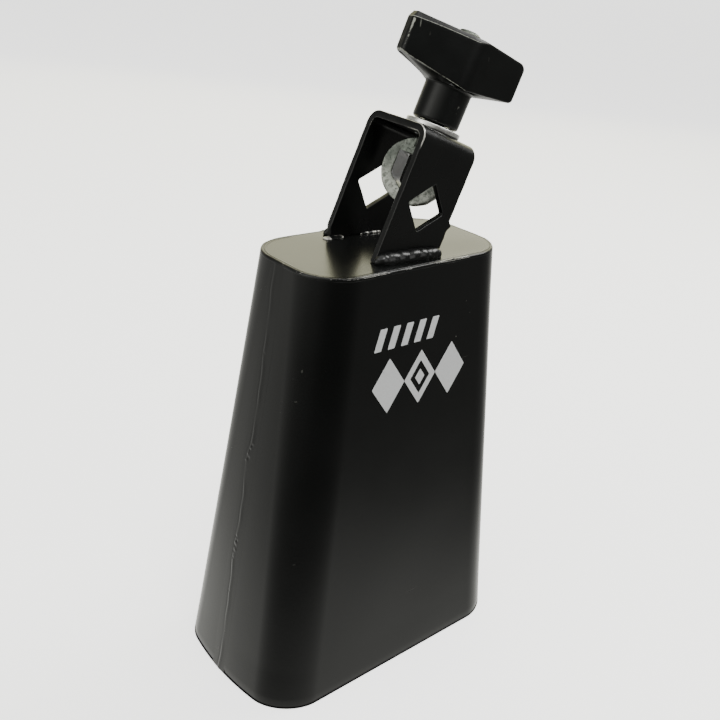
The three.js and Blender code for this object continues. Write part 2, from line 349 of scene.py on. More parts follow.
def flat_sided_radius(theta, normals, distances, sharpness):
    """Distance from the centre to a straight-sided outline in direction theta.

    Each side is a line at its distance along its normal. The sides are joined by a p-norm, so
    a high sharpness leaves only a small round at each corner.
    """
    facing = np.cos(theta[..., None] - np.array(normals)) / np.array(distances)
    return (np.maximum(facing, 0) ** sharpness).sum(-1) ** (-1 / sharpness)


def rounded_section(inner, outer, half_thickness, edge):
    """Loop of a rounded rectangle in (radius, height) between two radii.

    inner is a pair, for the lower and the upper face, and radii may be arrays. Each corner is a
    quarter circle of radius edge about a point that lies edge inside.
    """
    arc = np.linspace(0, math.pi / 2, 5)
    radii, heights = [], []
    for quarter, (side, level) in enumerate([(1, 1), (-1, 1), (-1, -1), (1, -1)]):
        low = inner[(level + 1) // 2]
        middle, reach = (low + outer) / 2, (outer - low) / 2 - edge
        for step in arc + quarter * math.pi / 2:
            radii.append(middle + side * reach + edge * math.cos(step))
            heights.append(level * (half_thickness - edge) + edge * math.sin(step))
        if quarter in (0, 2):
            for part in np.linspace(0, 1, 8)[1:-1]:
                radii.append(middle + side * reach * (1 - 2 * part))
                heights.append(level * half_thickness)
    return np.stack(radii, -1), np.array(heights)


def revolve(profile, count):
    """A lathe grid: each (radius, height) point of the profile turned to every angle about Z."""
    radius, height = np.array(profile).T
    return around(radius, angles(count)[:, None], height)


def softened(profile, rounding):
    """The closed profile with each corner replaced by a quadratic curve that starts rounding away."""
    points = np.array(profile, float)
    out = []
    for before, corner, after in zip(np.roll(points, 1, 0), points, np.roll(points, -1, 0)):
        arms = []
        for other in (before, after):
            arm = other - corner
            size = np.linalg.norm(arm)
            arms.append(corner + arm / size * min(rounding, 0.45 * size))
        for part in np.linspace(0, 1, 4):
            first = (1 - part) ** 2 * arms[0]
            out.append(first + 2 * part * (1 - part) * corner + part**2 * arms[1])
    return np.array(out)


def subdivided(profile, longest):
    """The closed profile with points added so that no step is longer than the given length."""
    points = np.array(profile, float)
    out = []
    for start, end in zip(points, np.roll(points, -1, 0)):
        count = max(1, math.ceil(np.linalg.norm(end - start) / longest))
        for part in np.arange(count) / count:
            out.append(start + (end - start) * part)
    return np.array(out)


# ---------------------------------------------------------------- the clamp's frame


def clamp_axes():
    """Unit vectors of the clamp's own frame: across the strap, through the legs, along the bolt."""
    across = np.array(
        [math.cos(LEAN) * math.cos(TURN), math.cos(LEAN) * math.sin(TURN), -math.sin(LEAN)]
    )
    through = np.array([-math.sin(TURN), math.cos(TURN), 0])
    return np.stack([across, through, BOLT_DIRECTION])


def clamp_foot():
    """Origin of the clamp's frame: the crown point of the bolt axis, taken back to the foot."""
    return np.array(HANDLE_JOINT["pos_m"]) - np.array([BOLT_X, BOLT_Y, CROWN]) @ clamp_axes()


def rotated(points, turn):
    """x and y of points that are turned about Z."""
    cos, sin = math.cos(turn), math.sin(turn)
    return points[..., 0] * cos - points[..., 1] * sin, points[..., 0] * sin + points[..., 1] * cos


def in_clamp(points):
    """Points of the clamp's frame, in the row frame."""
    return clamp_foot() + points @ clamp_axes()


def on_bolt(points, turn=0.0, height=0.0):
    """Points about the bolt axis, turned and raised, in the row frame."""
    x, y = rotated(points, turn)
    return in_clamp(np.stack([x + BOLT_X, y + BOLT_Y, points[..., 2] + height], -1))


def beside_foot(points):
    """Points of a level frame at the clamp's foot, turned with the strap, in the row frame."""
    return clamp_foot() + np.stack([*rotated(points, TURN), points[..., 2]], -1)


# ---------------------------------------------------------------- pieces


def join_patches(mesh):
    """Joins patches where their border points coincide, and turns all faces outwards."""
    work = bmesh.new()
    work.from_mesh(mesh)
    bmesh.ops.remove_doubles(work, verts=work.verts, dist=0.002 * MM)
    bmesh.ops.recalc_face_normals(work, faces=work.faces)
    work.to_mesh(mesh)
    work.free()


def add_piece(name, body, nodes, blocks, finish, wear=None, crease=35, join=False):
    """A mesh object from blocks of (vertices, quads), riding on a body in place of CAD nodes."""
    starts = np.cumsum([0] + [len(vertices) for vertices, _ in blocks])
    vertices = np.concatenate([block[0] for block in blocks])
    faces = np.concatenate([block[1] + start for block, start in zip(blocks, starts)])
    mesh = bpy.data.meshes.new(name)
    mesh.vertices.add(len(vertices))
    mesh.vertices.foreach_set("co", vertices.astype(np.float32).ravel())
    mesh.loops.add(faces.size)
    mesh.loops.foreach_set("vertex_index", faces.astype(np.int32).ravel())
    mesh.polygons.add(len(faces))
    mesh.polygons.foreach_set("loop_start", np.arange(0, faces.size, 4, dtype=np.int32))
    mesh.update(calc_edges=True)
    if wear is not None:
        attribute = mesh.attributes.new(WEAR_AND_LIGHT, "FLOAT", "POINT")
        attribute.data.foreach_set("value", np.asarray(wear, np.float32).ravel())
    if join:
        join_patches(mesh)
    mesh.shade_smooth()
    mesh.set_sharp_from_angle(angle=math.radians(crease))
    mesh.materials.append(finish)
    piece = bpy.data.objects.new(name, mesh)
    bpy.context.scene.collection.objects.link(piece)
    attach(piece, body)
    if nodes:
        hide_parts(*nodes)


def half_outline(end, inset, gap):
    """Plan of the front half of a bell outline, from the left seam to the right seam.

    A straight side, a quarter circle and half the straight front, then their mirror image.
    The short sides swell by the bulge times 1 - (y / half depth) squared. inset may be an
    array, and the answer then has the outline's points as its first axis.
    """
    inset = np.atleast_1d(inset)
    wide = end.half_width - inset
    deep = end.half_depth - inset
    radius = end.corner - inset
    side = np.linspace(0, 1, 20, endpoint=False)[:, None]
    turn = np.linspace(0, math.pi / 2, 34)[:, None]
    front = np.linspace(0, 1, 61)[1:, None]
    x = np.concatenate(
        [-wide + 0 * side, radius - wide - radius * np.cos(turn), (radius - wide) * (1 - front)]
    )
    y = np.concatenate(
        [-gap + side * (gap - deep + radius), radius - deep - radius * np.sin(turn), -deep + 0 * front]
    )
    x = np.concatenate([x, -x[-2::-1]])
    y = np.concatenate([y, y[-2::-1]])
    x = x * (1 + end.bulge / end.half_width * (1 - (y / end.half_depth) ** 2))
    return np.stack([x, y], -1)


def whole_outline(end, inset):
    """The closed plan of a bell outline: the front half and the same turned half round."""
    front = half_outline(end, inset, 0.0)[:-1]
    return np.concatenate([front, -front])


def on_taper(outline, along):
    """A plan that goes in a straight line from the mouth's outline to the top's."""
    return outline(MOUTH) * (1 - along)[:, None] + outline(TOP) * along[:, None]


def half_shell(bell, turned, seed):
    """One bent half of the wall.

    The profile, as (inset, height), goes round the rim, up the outside and down the inside, and
    is carried along the half outline. The sheet then waves a little away from its edges.
    """
    arc = np.linspace(0, math.pi / 2, 5)
    bottom = [bell.rim * (1 - np.sin(arc[::-1])), bell.rim * (1 - np.cos(arc[::-1]))]
    heights = np.linspace(bell.rim, SHELL_TOP, 84)[1:]
    inset = np.concatenate([bottom[0], 0 * heights])
    height = np.concatenate([bottom[1], heights])
    inset = np.concatenate([inset, bell.sheet - inset[::-1]])
    height = np.concatenate([height, height[::-1]])
    along = height / WALL_HEIGHT
    points = raised(on_taper(lambda end: half_outline(end, inset, SHELL_GAP), along), height)
    edge_share = np.minimum(np.minimum(height, SHELL_TOP - height) / (14 * MM), 1)
    seam_share = 1 - bump_at(points[..., 1], 0, 7 * MM)
    wave = bell.waviness * (ripple(points, 75 * MM, seed, 2) - 1.5)
    points = swelled(points, wave * edge_share * seam_share)
    if turned:
        points = points * HALF_TURN
    return closed(points)


def side_wall_x(y, height):
    """How far out the wall's short side is, at a place y and a height."""
    along = height / WALL_HEIGHT
    ends = [end.half_width + end.bulge * (1 - (y / end.half_depth) ** 2) for end in (MOUTH, TOP)]
    return ends[0] * (1 - along) + ends[1] * along


# The crest of the seam: height and how far it lies behind the middle, in millimetres.
SEAM_CREST = (
    (0, 0.8),
    (28, 0.5),
    (46, 1.8),
    (53, 1.5),
    (70, 1.2),
    (83, 2.6),
    (89, 1.1),
    (111, 0.9),
    (130, 1.7),
    (150, 2.6),
)

# Nicks and beads of weld on the seam: height, place beside the crest, size and how far out.
SEAM_NICKS = (
    (89.0, -0.5, 0.55, -0.13),
    (87.2, -0.2, 0.45, -0.16),
    (85.6, 0.2, 0.40, 0.11),
    (84.0, -0.7, 0.50, -0.16),
    (83.1, 0.5, 0.35, 0.10),
    (54.4, 0.2, 0.35, -0.14),
    (53.0, -0.5, 0.40, -0.15),
    (52.2, 0.4, 0.30, 0.10),
    (50.8, 0.0, 0.45, -0.16),
    (49.4, -0.6, 0.30, 0.09),
    (48.6, 0.4, 0.35, -0.14),
    (46.0, 0.1, 0.30, -0.12),
    (33.0, 0.2, 0.30, -0.08),
    (120.5, -0.1, 0.45, -0.09),
)


# The seam's pad: how far its middle lies behind the wall's, the plateau's rise, the groove's
# depth and distance from the crest, the lowest and highest rise, and the pad's thickness.
SEAM_MIDDLE = 1.3 * MM
SEAM_PLATEAU = 0.055 * MM
SEAM_GROOVE = (0.030 * MM, 0.8 * MM)
SEAM_LIMITS = (-0.03 * MM, 0.28 * MM)
SEAM_PAD = 0.6 * MM


def seam_weld(bell, turned, seed):
    """The filled seam on a short side.

    A pad fades into the wall on both sides: a low plateau with a crest that wanders up it and
    falls gently to the front, a shallow groove behind the crest, and a few nicks, each a
    Gaussian of its distance.
    """
    height = np.linspace(0.3 * MM, BODY_HEIGHT - 0.85 * MM, 460)[:, None]
    across = np.linspace(-1, 1, 72)[None]
    y = SEAM_MIDDLE + bell.seam_width * across + 0 * height
    lane = np.stack([height + 0 * y, 0 * y, seed * MM + 0.3 * y], -1)
    knots = np.array(SEAM_CREST).T * MM
    crest = np.interp(height, knots[0], knots[1]) + 0.25 * MM * ripple(lane, 17 * MM, seed, 2)
    uneven = 1 + 0.45 * ripple(lane, 13 * MM, seed + 1, 2)
    rise = SEAM_PLATEAU * (1 - across**2) ** 2 - 0.02 * MM * across**12
    slope = np.where(y < crest, 0.95, 0.38) * MM
    rise = rise + bell.seam_height * uneven * bump_at(y, crest, slope)
    depth, beside = SEAM_GROOVE
    rise = rise - depth * uneven * bump_at(y, crest + beside, 0.38 * MM)
    for place, beside, size, out in SEAM_NICKS:
        distance = np.hypot(height - place * MM, y - crest - beside * MM)
        rise = rise + out * MM * bump_at(distance, 0, size * MM)
    rise = np.clip(rise, *SEAM_LIMITS)
    outside = np.stack([-(side_wall_x(y, height) + rise), y, height + 0 * y], -1)
    inside = np.stack([-(side_wall_x(y, height) - SEAM_PAD), y, height + 0 * y], -1)
    points = np.concatenate([outside, inside[:, ::-1]], 1)
    if turned:
        points = points * HALF_TURN
    return closed(points)


# How far the plate's edge lies inside the wall's outline, and the plate's thickness.
PLATE_INSET = 1.3 * MM
PLATE = 1.5 * MM


def top_plate():
    """The flat plate: its outline shrunk to the middle below and above, and slightly uneven."""
    shrink = np.linspace(1, 0.02, 26)
    scale = np.concatenate([shrink[::-1], [1.0], shrink])
    level = np.concatenate([0 * shrink - PLATE, [-PLATE / 2], 0 * shrink])
    outline = whole_outline(TOP, PLATE_INSET)[:, 0]
    plan = scale[:, None, None] * outline
    points = raised(plan, level[:, None])
    above = (level > -PLATE / 4)[:, None]
    uneven = 0.035 * MM * (ripple(points, 45 * MM, 5, 2) - 1.5) * (1 - scale[:, None] ** 6)
    points[..., 2] += BODY_HEIGHT + uneven * above
    return closed(points)


# Lumps left on the edge weld: x and y, height and reach, in millimetres.
LUMPS = (
    (12.3, -20.6, 0.55, 1.0),
    (10.2, -20.8, 0.30, 0.8),
    (14.6, -20.7, 0.22, 1.2),
    (-27.5, -20.9, 0.20, 1.6),
    (-33.0, -18.5, 0.22, 1.1),
    (-22.0, -20.9, 0.16, 1.4),
    (31.0, 19.4, 0.35, 1.2),
    (-8.0, 20.8, 0.30, 1.0),
)


def top_edge_weld(bell):
    """The ground weld round the plate, carried round the bell's outline.

    Its section, as (inset, level), comes out of the wall, rounds the corner and runs in over
    the plate, with a thin groove where weld and plate meet. Returns the closed grid and a painted
    highlight for each point, drawn as rubbed steel: two thin lines along the front of the corner,
    strongest at two spots.
    """
    arc = np.linspace(0, math.pi / 2, 9)
    corner = [bell.edge_round * (1 - np.cos(arc)), bell.edge_round * (np.sin(arc) - 1)]
    under = [(0.6, -1.7), (0.05, -1.25), (-0.02, -0.95), (-0.02, -0.7)]
    over = [(0.75, 0), (0.92, -0.03), (1.05, -0.16), (1.18, -0.03), (1.4, 0), (1.9, -0.01)]
    over += [(2.2, -0.3), (2.0, -1.3), (1.0, -3.4)]
    under, over = np.array(under).T * MM, np.array(over).T * MM
    inset = np.concatenate([under[0], corner[0], over[0]])
    level = BODY_HEIGHT + np.concatenate([under[1], corner[1], over[1]])
    points = raised(on_taper(lambda end: whole_outline(end, inset), level / WALL_HEIGHT), level)
    place = np.arange(len(inset))
    near_corner = bump_at(place, 8, 3.6)
    groove = bump_at(place, 15, 1.2)
    proud = 0.06 * MM * ripple(points, 14 * MM, 8) + 0.03 * MM * ripple(points, 4.5 * MM, 9, 2)
    proud = proud - 0.05 * MM
    for x, y, tall, reach in LUMPS:
        distance = np.hypot(points[..., 0] - x * MM, points[..., 1] - y * MM)
        proud = proud + tall * MM * bump_at(distance, 0, reach * MM)
    depth = 0.05 * MM * (ripple(points, 30 * MM, 10, 2) + 0.2)
    # Painted highlight: rubbed steel in two thin lines along the front of the rounded corner, strongest at
    # two spots, stands in for the glint of the lights on the edge.
    line = bump_at(place, 5.5, 1.1) + bump_at(place, 10.5, 1.1)
    highlight_spots = bump_at(points[..., 0], -22 * MM, 13 * MM) + bump_at(points[..., 0], 11 * MM, 9 * MM)
    bare_and_highlight = line * (0.68 + 0.42 * highlight_spots + 0.2 * ripple(points, 9 * MM, 13, 2)) * (points[..., 1] < 0)
    return closed(swelled(points, proud * near_corner - depth * groove, True), True), bare_and_highlight


def bent(clamp, x, along, depth):
    """The strap's blank bent into a U.

    along is the distance from the crown's middle, measured on the outside. It runs straight
    over the crown, a quarter circle round the bend and straight down the leg. depth is how far
    a point lies inside the outer face.
    """
    straight = clamp.half_span - clamp.bend
    distance = np.abs(along)
    turn = np.clip((distance - straight) / clamp.bend, 0, math.pi / 2)
    radius = clamp.bend - depth
    y = np.sign(along) * (np.minimum(distance, straight) + radius * np.sin(turn))
    leg = np.maximum(distance - straight - clamp.bend * math.pi / 2, 0)
    return np.stack([x, y, CROWN - clamp.bend + radius * np.cos(turn) - leg], -1)


# Bad cuts on the strap's edges: height and size of the burr and the step, and the cut's height.
BURR = (18.7 * MM, 1.55 * MM)
STEP = (17.5 * MM, 0.5 * MM)
FOOT_CUT = 4.2 * MM


def ragged_edges(points):
    """Moves the strap's edges where they were cut badly: a burr, a step and a cut foot corner.

    The burr is a Gaussian of the height, steeper above than below, the step a clipped slope and
    the cut a corner that stands upright, with a small notch in it.
    """
    x, y, z = points[..., 0], points[..., 1], points[..., 2]
    sharp = bump_at(z, BURR[0], np.where(z > BURR[0], 0.5, 1.5) * MM)
    step = STEP[1] * np.clip((STEP[0] - z) / (3 * MM), 0, 1)
    right = np.clip((x - 20 * MM) / (3.2 * MM), 0, 1) * (y < -8 * MM)
    left = np.clip((3.2 * MM - x) / (3.2 * MM), 0, 1) * (y > 8 * MM)
    cut = np.maximum(FOOT_CUT - z, 0) * math.tan(LEAN) + 0.3 * MM * bump_at(z, 2.6 * MM, 0.5 * MM)
    shift = right * (BURR[1] * sharp + step) + left * cut
    shift = shift + 0.04 * MM * ripple(points, 5 * MM, 27, 2)
    return np.stack([x + shift, y, z], -1)


def round_hole(outer, centre, hole, grow, blend):
    """Rows of points from an outer loop (the first) to a hole's outline (the last)."""
    reach = outer - centre
    theta = np.arctan2(reach[:, 1], reach[:, 0])
    direction = np.stack([np.cos(theta), np.sin(theta)], -1)
    inner = centre + direction * hole(theta, grow)[:, None]
    return outer + (inner - outer) * np.array(blend)[:, None, None]


def clamp_strap(clamp):
    """The strap with two diamonds and a round hole, as patches of its bent blank.

    The outer and inner faces are a leg, a bend, the crown, a bend and a leg. Round every
    border runs a rim whose two edges are quarter circles, and the wear lies on them.
    """
    steps = 44
    edge = clamp.edge
    straight = clamp.half_span - clamp.bend
    bend_end = straight + clamp.bend * math.pi / 2
    drop = CROWN - clamp.bend
    left, right = edge, clamp.width - edge
    diamond = [math.pi * (k + 0.5) / 2 for k in range(4)]
    blend = (0, 0.03, 0.08, 0.16, 0.27, 0.4, 0.53, 0.66, 0.78, 0.87, 0.94, 0.98, 1)
    arc = np.linspace(0, math.pi / 2, 5)
    out = np.concatenate([edge * np.sin(arc), edge * np.sin(arc[::-1])])
    depth = np.concatenate([edge * (1 - np.cos(arc)), clamp.strap - edge * (1 - np.cos(arc[::-1]))])
    out, depth = np.insert(out, 5, edge), np.insert(depth, 5, clamp.strap / 2)
    rim_wear = np.array([0.9, 1.12, 1.12, 0.9, 0.3, 0, 0.3, 0.7, 0.9, 0.9, 0.6])
    blocks, wears = [], []

    def beyond(x):
        """-1 on the blank's left border, 1 on its right border and 0 between them."""
        return np.where(x < left + 1e-9, -1.0, np.where(x > right - 1e-9, 1.0, 0.0))

    def foot(x):
        """How far along the blank a leg ends, so that it stands level on the plate."""
        return bend_end + drop - 0.1 * MM - x * math.tan(LEAN) - edge

    def diamond_hole(theta, grow):
        """A diamond's outline, grown outwards."""
        return flat_sided_radius(theta, diamond, [clamp.diamond_side / 2 + grow] * 4, 26)

    def crown_hole(theta, grow):
        """The bolt hole's outline, grown outwards."""
        return clamp.crown_hole + grow + 0 * theta

    def keep(points, wear, wrap):
        """Keeps a patch, with its wear weighed by where the strap is rubbed most."""
        points = ragged_edges(points)
        x, y, z = points[..., 0], points[..., 1], points[..., 2]
        weight = 0.52 + 0.33 * (z > 38 * MM) * (x < 1 * MM)
        rubbed = bump_at(y, -11 * MM, 4 * MM) * bump_at(z, 40.5 * MM, 4 * MM) * (x < 1 * MM)
        blocks.append((points.reshape(-1, 3), grid_quads(*points.shape[:2], False, wrap)))
        wears.append((wear * (weight + 0.7 * rubbed)).ravel())

    def faces(x, along, border, wrap):
        """Keeps a patch of the outer face and the same patch of the inner face."""
        for level in (0, clamp.strap):
            keep(bent(clamp, x, along, level), 0.7 * border, wrap)

    def holed(corners, centre, hole, sign):
        """Keeps both faces round a hole, and the hole's own rim."""
        corners = np.array(corners)
        sides = [
            start + (end - start) * np.arange(steps)[:, None] / steps
            for start, end in zip(corners, np.roll(corners, -1, 0))
        ]
        outer = np.concatenate(sides)
        plan = round_hole(outer, np.array(centre), hole, edge, blend)
        border = np.zeros(plan.shape[:2])
        border[-1] = 1
        border[0] = beyond(outer[:, 0]) != 0
        faces(plan[..., 0], sign * plan[..., 1], border, True)
        rows = [round_hole(outer, np.array(centre), hole, edge - step, (1,))[0] for step in out]
        plan = np.stack(rows)
        rim = bent(clamp, plan[..., 0], sign * plan[..., 1], depth[:, None])
        keep(rim, rim_wear[:, None] + 0 * plan[..., 0], True)

    leg_corners = [(left, foot(left)), (right, foot(right)), (right, bend_end), (left, bend_end)]
    middle = bend_end + drop - clamp.diamond_height
    holed(leg_corners, (clamp.width / 2, middle), diamond_hole, -1)
    holed(leg_corners, (clamp.width / 2, middle), diamond_hole, 1)
    crown_corners = [(left, -straight), (right, -straight), (right, straight), (left, straight)]
    holed(crown_corners, (BOLT_X, BOLT_Y), crown_hole, 1)
    bend = straight + clamp.bend * np.linspace(0, math.pi / 2, 17)
    x, along = np.meshgrid(np.linspace(left, right, steps + 1), bend)
    border = np.abs(beyond(x))
    faces(x, along, border, False)
    faces(x, -along, border, False)

    def side(x):
        """Places along one side of the blank, from the near foot to the far foot."""
        leg = np.linspace(bend_end, foot(x), steps + 1)
        crown = np.linspace(-straight, straight, steps + 1)
        return np.concatenate([-leg[::-1], -bend[::-1][1:], crown[1:], bend[1:], leg[1:]])

    across = np.linspace(left, right, steps + 1)[1:-1]
    ends = foot(across)
    x = np.concatenate([left + 0 * side(left), across, right + 0 * side(right), across[::-1]])
    along = np.concatenate([side(left), ends, side(right)[::-1], -ends[::-1]])
    over = beyond(x)
    past = np.where(np.abs(along) > foot(x) - 1e-9, np.sign(along), 0)
    rim = bent(clamp, x + over * out[:, None], along + past * out[:, None], depth[:, None])
    keep(rim, rim_wear[:, None] * (over != 0), True)
    return blocks, np.concatenate(wears)


def foot_bead(start, end, face, outward, seed, size, flat):
    """A fillet weld along x, in the corner of the plate and a leg's face.

    The section is a circle about a point near the corner, cut off just inside the steel and
    pressed down by flat. Its radius swells over each drop of weld and falls to nothing at both
    ends. Returns the closed grid and how far the paint is worn through at each point.
    """
    middle, half = (start + end) / 2, (end - start) / 2 + 0.5 * MM
    along = np.sin(np.linspace(-math.pi / 2, math.pi / 2, 130))[:, None]
    theta = angles(36)[None]
    x = middle + half * along + 0 * theta
    rough = np.stack([x, 0.5 * size * np.cos(theta) + 0 * x, 0.5 * size * np.sin(theta) + 0 * x], -1)
    drops = np.abs(np.sin(math.pi * x / (4.0 * MM) + 0.5 * ripple(rough, 9 * MM, seed + 2, 2)))
    lumps = 0.90 + 0.12 * np.sqrt(drops) + 0.05 * ripple(rough, 7 * MM, seed, 2)
    lumps = lumps + 0.012 * ripple(rough, 3 * MM, seed + 1, 2)
    radius = size * 0.82 * np.sqrt(np.maximum(1 - np.abs(along) ** 5, 0.0004)) * lumps
    out = 0.24 * size + radius * np.cos(theta)
    out = np.maximum(out, 0.04 * (out + 0.7 * MM) - 0.7 * MM)
    up = flat * (0.22 * size + radius * np.sin(theta))
    up = np.maximum(up, 0.04 * (up + 0.5 * MM) - 0.5 * MM)
    bare_and_highlight = 0.5 + 0.35 * ripple(rough, 4 * MM, seed + 3, 2)
    return closed(beside_foot(np.stack([x, face + outward * out, up], -1))), bare_and_highlight


def foot_welds(clamp):
    """The four beads, as CAD node, ends along the leg, face, side, seed, size, flatness, bareness."""
    level_width = clamp.width / math.cos(LEAN)
    outside = clamp.half_span
    inside = clamp.half_span - clamp.strap
    return (
        ("near_foot_weld", 0.0, level_width + 0.6 * MM, -outside, -1, 31, 1.12 * clamp.bead, 1.0, 0.62),
        ("far_foot_weld", 1.5 * MM, level_width, outside, 1, 37, clamp.bead, 1.0, 0.5),
        ("left_foot_tack", -0.9 * MM, 5.9 * MM, inside, -1, 41, 0.62 * clamp.bead, 0.34, 1.9),
        ("right_foot_tack", 14.0 * MM, 21.5 * MM, inside, -1, 43, 0.22 * clamp.bead, 1.0, 1.5),
    )


def eye_ring(clamp):
    """The eye: a rounded section carried round the bolt's eye, from a V-bottomed window out.

    The inner radius is the window's outline in each direction, narrower at the back on one side,
    and the outer radius is a circle. Returns the grid and where painted light falls on the window's wall.
    """
    theta = angles(240)
    flank = math.atan2(-6.6, 5.1)
    normals = [0, math.pi, math.pi / 2, flank, math.pi - flank]
    # From the centre to the window's two sides, its top and its two flanks.
    front = np.array([6.6, 6.6, 4.6, 6.25, 6.25]) * MM
    back = np.array([6.6, 4.3, 4.6, 6.25, 6.0]) * MM
    inner = [flat_sided_radius(theta, normals, distances, 36) for distances in (front, back)]
    radii, heights = rounded_section(inner, clamp.eye_radius + 0 * theta, clamp.eye_thickness / 2, 0.45 * MM)
    points = np.stack(
        [radii * np.cos(theta)[:, None], heights + 0 * radii, radii * np.sin(theta)[:, None]], -1
    )
    uneven = 0.05 * MM * ripple(points, 7 * MM, 51) + 0.025 * MM * ripple(points, 2.5 * MM, 52)
    place = np.arange(points.shape[1])
    on_wall = (place >= 14) & (place <= 17)
    # Painted light: a near-white patch on one side of the window's inner wall, where light falls into the
    # window.
    lit_wall_mask = bump_at(theta, math.pi, 0.8)[:, None] * on_wall
    return swelled(points, uneven - 0.04 * MM, True), lit_wall_mask


def bolt_thread(clamp, start, end):
    """The shank: a cylinder whose radius falls and rises once a pitch along a right-hand helix.

    The thread fades out on a plain neck below, and the tip is rounded by a square root.
    """
    theta = angles(72)[None]
    height = np.linspace(start, end, 420)[:, None]
    phase = (height / clamp.pitch - theta / (2 * math.pi)) % 1
    depth = THREAD_DEPTH * np.clip(np.abs(phase - 0.5) * 2.6 - 0.2, 0, 1)
    neck = np.clip((height - start - PLAIN_NECK) / (1.5 * MM), 0, 1)
    tip = np.clip((end - height) / BOLT_TIP, 0, 1)
    radius = (clamp.shank - depth * neck) * (0.78 + 0.22 * np.sqrt(tip))
    return around(radius, theta, height)


def washer_ring(clamp):
    """The washer: a rounded section turned about the bolt, a little uneven."""
    half = clamp.washer / 2
    theta = angles(160)
    inner = WASHER_HOLE + 0 * theta
    radii, heights = rounded_section((inner, inner), clamp.washer_radius + 0 * theta, half, 0.32 * MM)
    points = around(radii, theta[:, None], heights + half)
    return swelled(points, 0.008 * MM * ripple(points, 7 * MM, 61) - 0.01 * MM, True)


def wing_outline(handle):
    """The wings' plan with its outward normals: a round hub drawn out to two flat ends.

    The hull of the hub's circle and four small corner circles: an arc of each circle, and the
    straight lines that touch two of them.
    """
    corner = handle.tip_corner
    left, right = handle.left_length - corner, handle.right_length - corner
    deep = handle.tip - corner
    touches = [
        math.atan2(deep, far) + math.acos((handle.hub - corner) / math.hypot(far, deep))
        for far in (left, right)
    ]
    half = math.pi
    left_touch, right_touch = half - touches[0], touches[1]
    arcs = (
        (right, deep, corner, 0, right_touch, 10),
        (0, 0, handle.hub, right_touch, left_touch, 14),
        (-left, deep, corner, left_touch, half, 10),
        (-left, -deep, corner, half, 2 * half - left_touch, 10),
        (0, 0, handle.hub, 2 * half - left_touch, 2 * half - right_touch, 14),
        (right, -deep, corner, 2 * half - right_touch, 2 * half, 10),
    )
    outline, facing = [], []
    turns = [np.linspace(start, end, steps) for *_, start, end, steps in arcs]
    normals = [np.stack([np.cos(turn), np.sin(turn)], -1) for turn in turns]
    points = [np.array(arc[:2]) + arc[2] * normal for arc, normal in zip(arcs, normals)]
    for k, (arc_points, arc_normals) in enumerate(zip(points, normals)):
        following = points[(k + 1) % len(points)][0]
        straight = np.linspace(arc_points[-1], following, 16)[1:-1]
        outline += [arc_points, straight]
        facing += [arc_normals, np.repeat(arc_normals[-1:], len(straight), 0)]
    return np.concatenate(outline), np.concatenate(facing)


